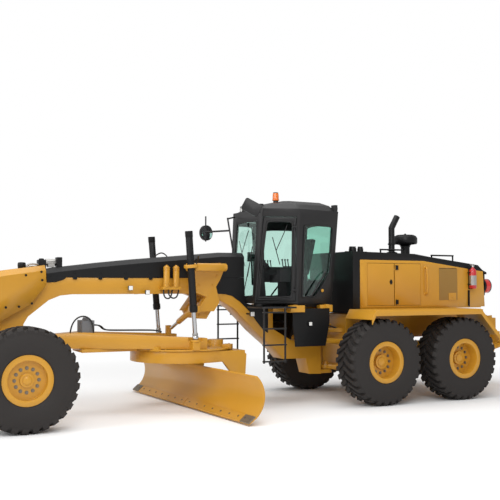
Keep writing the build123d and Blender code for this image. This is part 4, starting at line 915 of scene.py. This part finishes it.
# Tyres: radial earthmover rubber with two rows of angled lugs that meet in a
# chevron. Each tyre is one mesh, a turned carcass with the lugs standing on it.
TYRE_RADIUS = 0.790
HUB_Z = 0.790
WHEEL_Y = 1.3515
LUGS = 30
SEGMENTS = 96
rubber = finish_material("tyre_rubber", (0.024, 0.0205, 0.019), 0.74,
                         grain=0.35, grain_scale=70, mottle=0.12, gleam=0.35)
CARCASS = (
    (0.3178, -0.2405), (0.381, -0.2455), (0.392, -0.268), (0.412, -0.283), (0.43, -0.284), (0.445, -0.290),
    (0.50, -0.2985), (0.57, -0.300), (0.64, -0.294), (0.69, -0.282), (0.705, -0.281), (0.725, -0.268),
    (0.738, -0.245), (0.744, -0.18), (0.748, -0.08), (0.748, 0.0),
)
LUG_PATH = (
    (0.012, 0.0, 0.042, TYRE_RADIUS, 0.735), (0.10, 0.050, 0.042, TYRE_RADIUS, 0.735),
    (0.19, 0.112, 0.046, TYRE_RADIUS, 0.735), (0.243, 0.128, 0.052, 0.786, 0.71),
    (0.284, 0.134, 0.056, 0.742, 0.69),
)
WHEELS = [
    (f"{place}_{side_name}", station, side)
    for place, station in (("front", 0.0), ("mid", 6.4445), ("rear", 8.2855)) for side_name, side in SIDES
]


def lug_faces(mesh, angle, side):
    """One tread lug: a bar that runs from the crown to the shoulder, leaning back as it goes."""
    rings = []
    for across, trail, half, top, base in LUG_PATH:
        ring = []
        foot, head = half * 1.12, half * 0.86
        for edge, radius in ((-foot, base), (-head, top), (head, top), (foot, base)):
            turn = angle + (trail + edge) / TYRE_RADIUS
            ring.append(mesh.verts.new((radius * math.sin(turn), side * across, radius * math.cos(turn))))
        rings.append(ring)
    skin(mesh, rings, around=False, capped=True)


for name, station, side in WHEELS:
    mesh = bmesh.new()
    profile = list(CARCASS) + [(r, -y) for r, y in reversed(CARCASS[:-1])]
    rings = []
    for step in range(SEGMENTS):
        turn = 2 * math.pi * step / SEGMENTS
        rings.append([mesh.verts.new((r * math.sin(turn), y, r * math.cos(turn))) for r, y in profile])
    skin(mesh, rings + rings[:1])
    for lug in range(LUGS):
        lug_faces(mesh, 2 * math.pi * lug / LUGS, 1)
        lug_faces(mesh, 2 * math.pi * (lug + 0.5) / LUGS, -1)
    for vertex in mesh.verts:
        vertex.co += at(station, side * WHEEL_Y, HUB_Z)
    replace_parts(new_piece(f"tread_{name}", mesh, rubber, f"wheel_{name}"), f"tyre_{name}")

# Rims: pressed and rolled steel in the machine's yellow, each one turning with
# its tyre.
coat_nodes([f"rim_{name}" for name, _, _ in WHEELS], yellow, 0.004)

# Wheel fittings: twelve steel nuts round each disc, in the dark worn steel whose
# darkness here is painted shade round the nuts, and a turned yellow cap over
# each hub, wider on the four driven wheels.
NUTS = 12
for name, station, side in WHEELS:
    if name.startswith("front"):
        disc, hub_face, ring, cap_radius = WHEEL_Y + 0.150, WHEEL_Y + 0.190, 0.180, 0.070
    else:
        disc, hub_face, ring, cap_radius = WHEEL_Y + 0.040, WHEEL_Y + 0.095, 0.205, 0.085
    rows = []
    for step in range(NUTS):
        turn = 2 * math.pi * step / NUTS
        spot = at(station + ring * math.cos(turn), side * (disc + 0.001), HUB_Z + ring * math.sin(turn))
        rows.append((spot, (0, side, 0)))
    # Painted shade: the nuts are steel, coloured dark to stand for the shade round them on the disc.
    bolts(f"wheel_nuts_{name}", f"wheel_{name}", rows, 0.019, 0.022, wear_steel_and_nut_shade)
    cap = (
        (cap_radius, 0.0), (cap_radius, 0.012), (cap_radius * 0.86, 0.022), (cap_radius * 0.3, 0.030),
        (0.004, 0.031),
    )
    mesh = bmesh.new()
    turned(mesh, at(station, side * hub_face, HUB_Z), (0, side, 0), cap, 36)
    new_piece(f"hub_cap_{name}", mesh, yellow, f"wheel_{name}")

# Studio floor: matt white near the machine, fading to plain white further out,
# so that no horizon shows.
FLOOR_HALF = 60
FADE_START = 5.5
FADE_END = 9.5
floor_mesh = bpy.data.meshes.new("studio_floor")
floor_corners = [(x * FLOOR_HALF, y * FLOOR_HALF, 0) for x, y in ((-1, -1), (1, -1), (1, 1), (-1, 1))]
floor_mesh.from_pydata(floor_corners, [], [(0, 1, 2, 3)])
floor = bpy.data.objects.new("studio_floor", floor_mesh)
bpy.context.scene.collection.objects.link(floor)
floor_material = bpy.data.materials.new("studio_white")
floor_material.use_nodes = True
tree = floor_material.node_tree
matt = wire(tree, tree.nodes["Principled BSDF"], {"Base Color": (0.96, 0.96, 0.96, 1), "Roughness": 0.9})
floor_place = add_node(tree, "ShaderNodeTexCoord").outputs["Object"]
reach = add_node(tree, "ShaderNodeVectorMath", links={0: floor_place})
reach.operation = "LENGTH"
fade_range = {"From Min": FADE_START, "From Max": FADE_END}
fade = add_node(tree, "ShaderNodeMapRange", fade_range, {"Value": reach.outputs["Value"]})
glow = add_node(tree, "ShaderNodeEmission", {"Color": (1, 1, 1, 1)})
floor_mix = {"Fac": fade.outputs["Result"], 1: matt.outputs[0], 2: glow.outputs[0]}
blend = add_node(tree, "ShaderNodeMixShader", links=floor_mix)
wire(tree, tree.nodes["Material Output"], links={"Surface": blend.outputs[0]})
floor_mesh.materials.append(floor_material)

# Studio air: a soft white light from all round. The camera and the panes of the
# cab see it as pure white, and the machine is lit by about half of that.
world = bpy.data.worlds.new("studio_air")
bpy.context.scene.world = world
world.use_nodes = True
air = world.node_tree
dim = wire(air, air.nodes["Background"], {"Color": (1, 1, 1, 1), "Strength": 0.55})
white = add_node(air, "ShaderNodeBackground", {"Color": (1, 1, 1, 1), "Strength": 1.0})
paths = add_node(air, "ShaderNodeLightPath").outputs
seen = add_node(air, "ShaderNodeMath", links={0: paths["Is Camera Ray"], 1: paths["Is Transmission Ray"]})
seen.operation = "MAXIMUM"
air_mix = {"Fac": seen.outputs[0], 1: dim.outputs[0], 2: white.outputs[0]}
mix = add_node(air, "ShaderNodeMixShader", links=air_mix)
wire(air, air.nodes["World Output"], links={"Surface": mix.outputs[0]})


# Lamps and camera: three large square soft lamps, each aimed at the machine,
# and the camera where the photograph was taken from.
def soft_lamp(name, place, aim, size, power):
    """A square soft lamp that points at a place on the machine."""
    lamp = bpy.data.lights.new(name, "AREA")
    lamp.size = size
    lamp.energy = power
    holder = bpy.data.objects.new(name, lamp)
    bpy.context.scene.collection.objects.link(holder)
    holder.location = place
    holder.rotation_mode = "QUATERNION"
    holder.rotation_quaternion = (Vector(place) - Vector(aim)).to_track_quat("Z", "Y")


soft_lamp("key_lamp", (6.0, 12.0, 10.0), (0.0, 0.0, 1.2), 8.0, 900.0)
soft_lamp("top_lamp", (0.0, 0.0, 13.0), (0.0, 0.0, 0.0), 12.0, 900.0)
soft_lamp("front_lamp", (14.0, 3.0, 7.0), (1.0, 0.0, 1.5), 7.0, 500.0)

camera_data = bpy.data.cameras.new("photo_camera")
camera_data.sensor_width = 36.0
camera_data.lens = 58.6246
camera = bpy.data.objects.new("photo_camera", camera_data)
bpy.context.scene.collection.objects.link(camera)
camera.location = (7.4108, 13.8244, 2.1857)
CAMERA_YAW = -116.679
CAMERA_PITCH = 2.5275
camera.rotation_euler = (math.radians(90 + CAMERA_PITCH), 0, math.radians(CAMERA_YAW - 90))
bpy.context.scene.camera = camera
bpy.context.scene.view_settings.view_transform = "Standard"
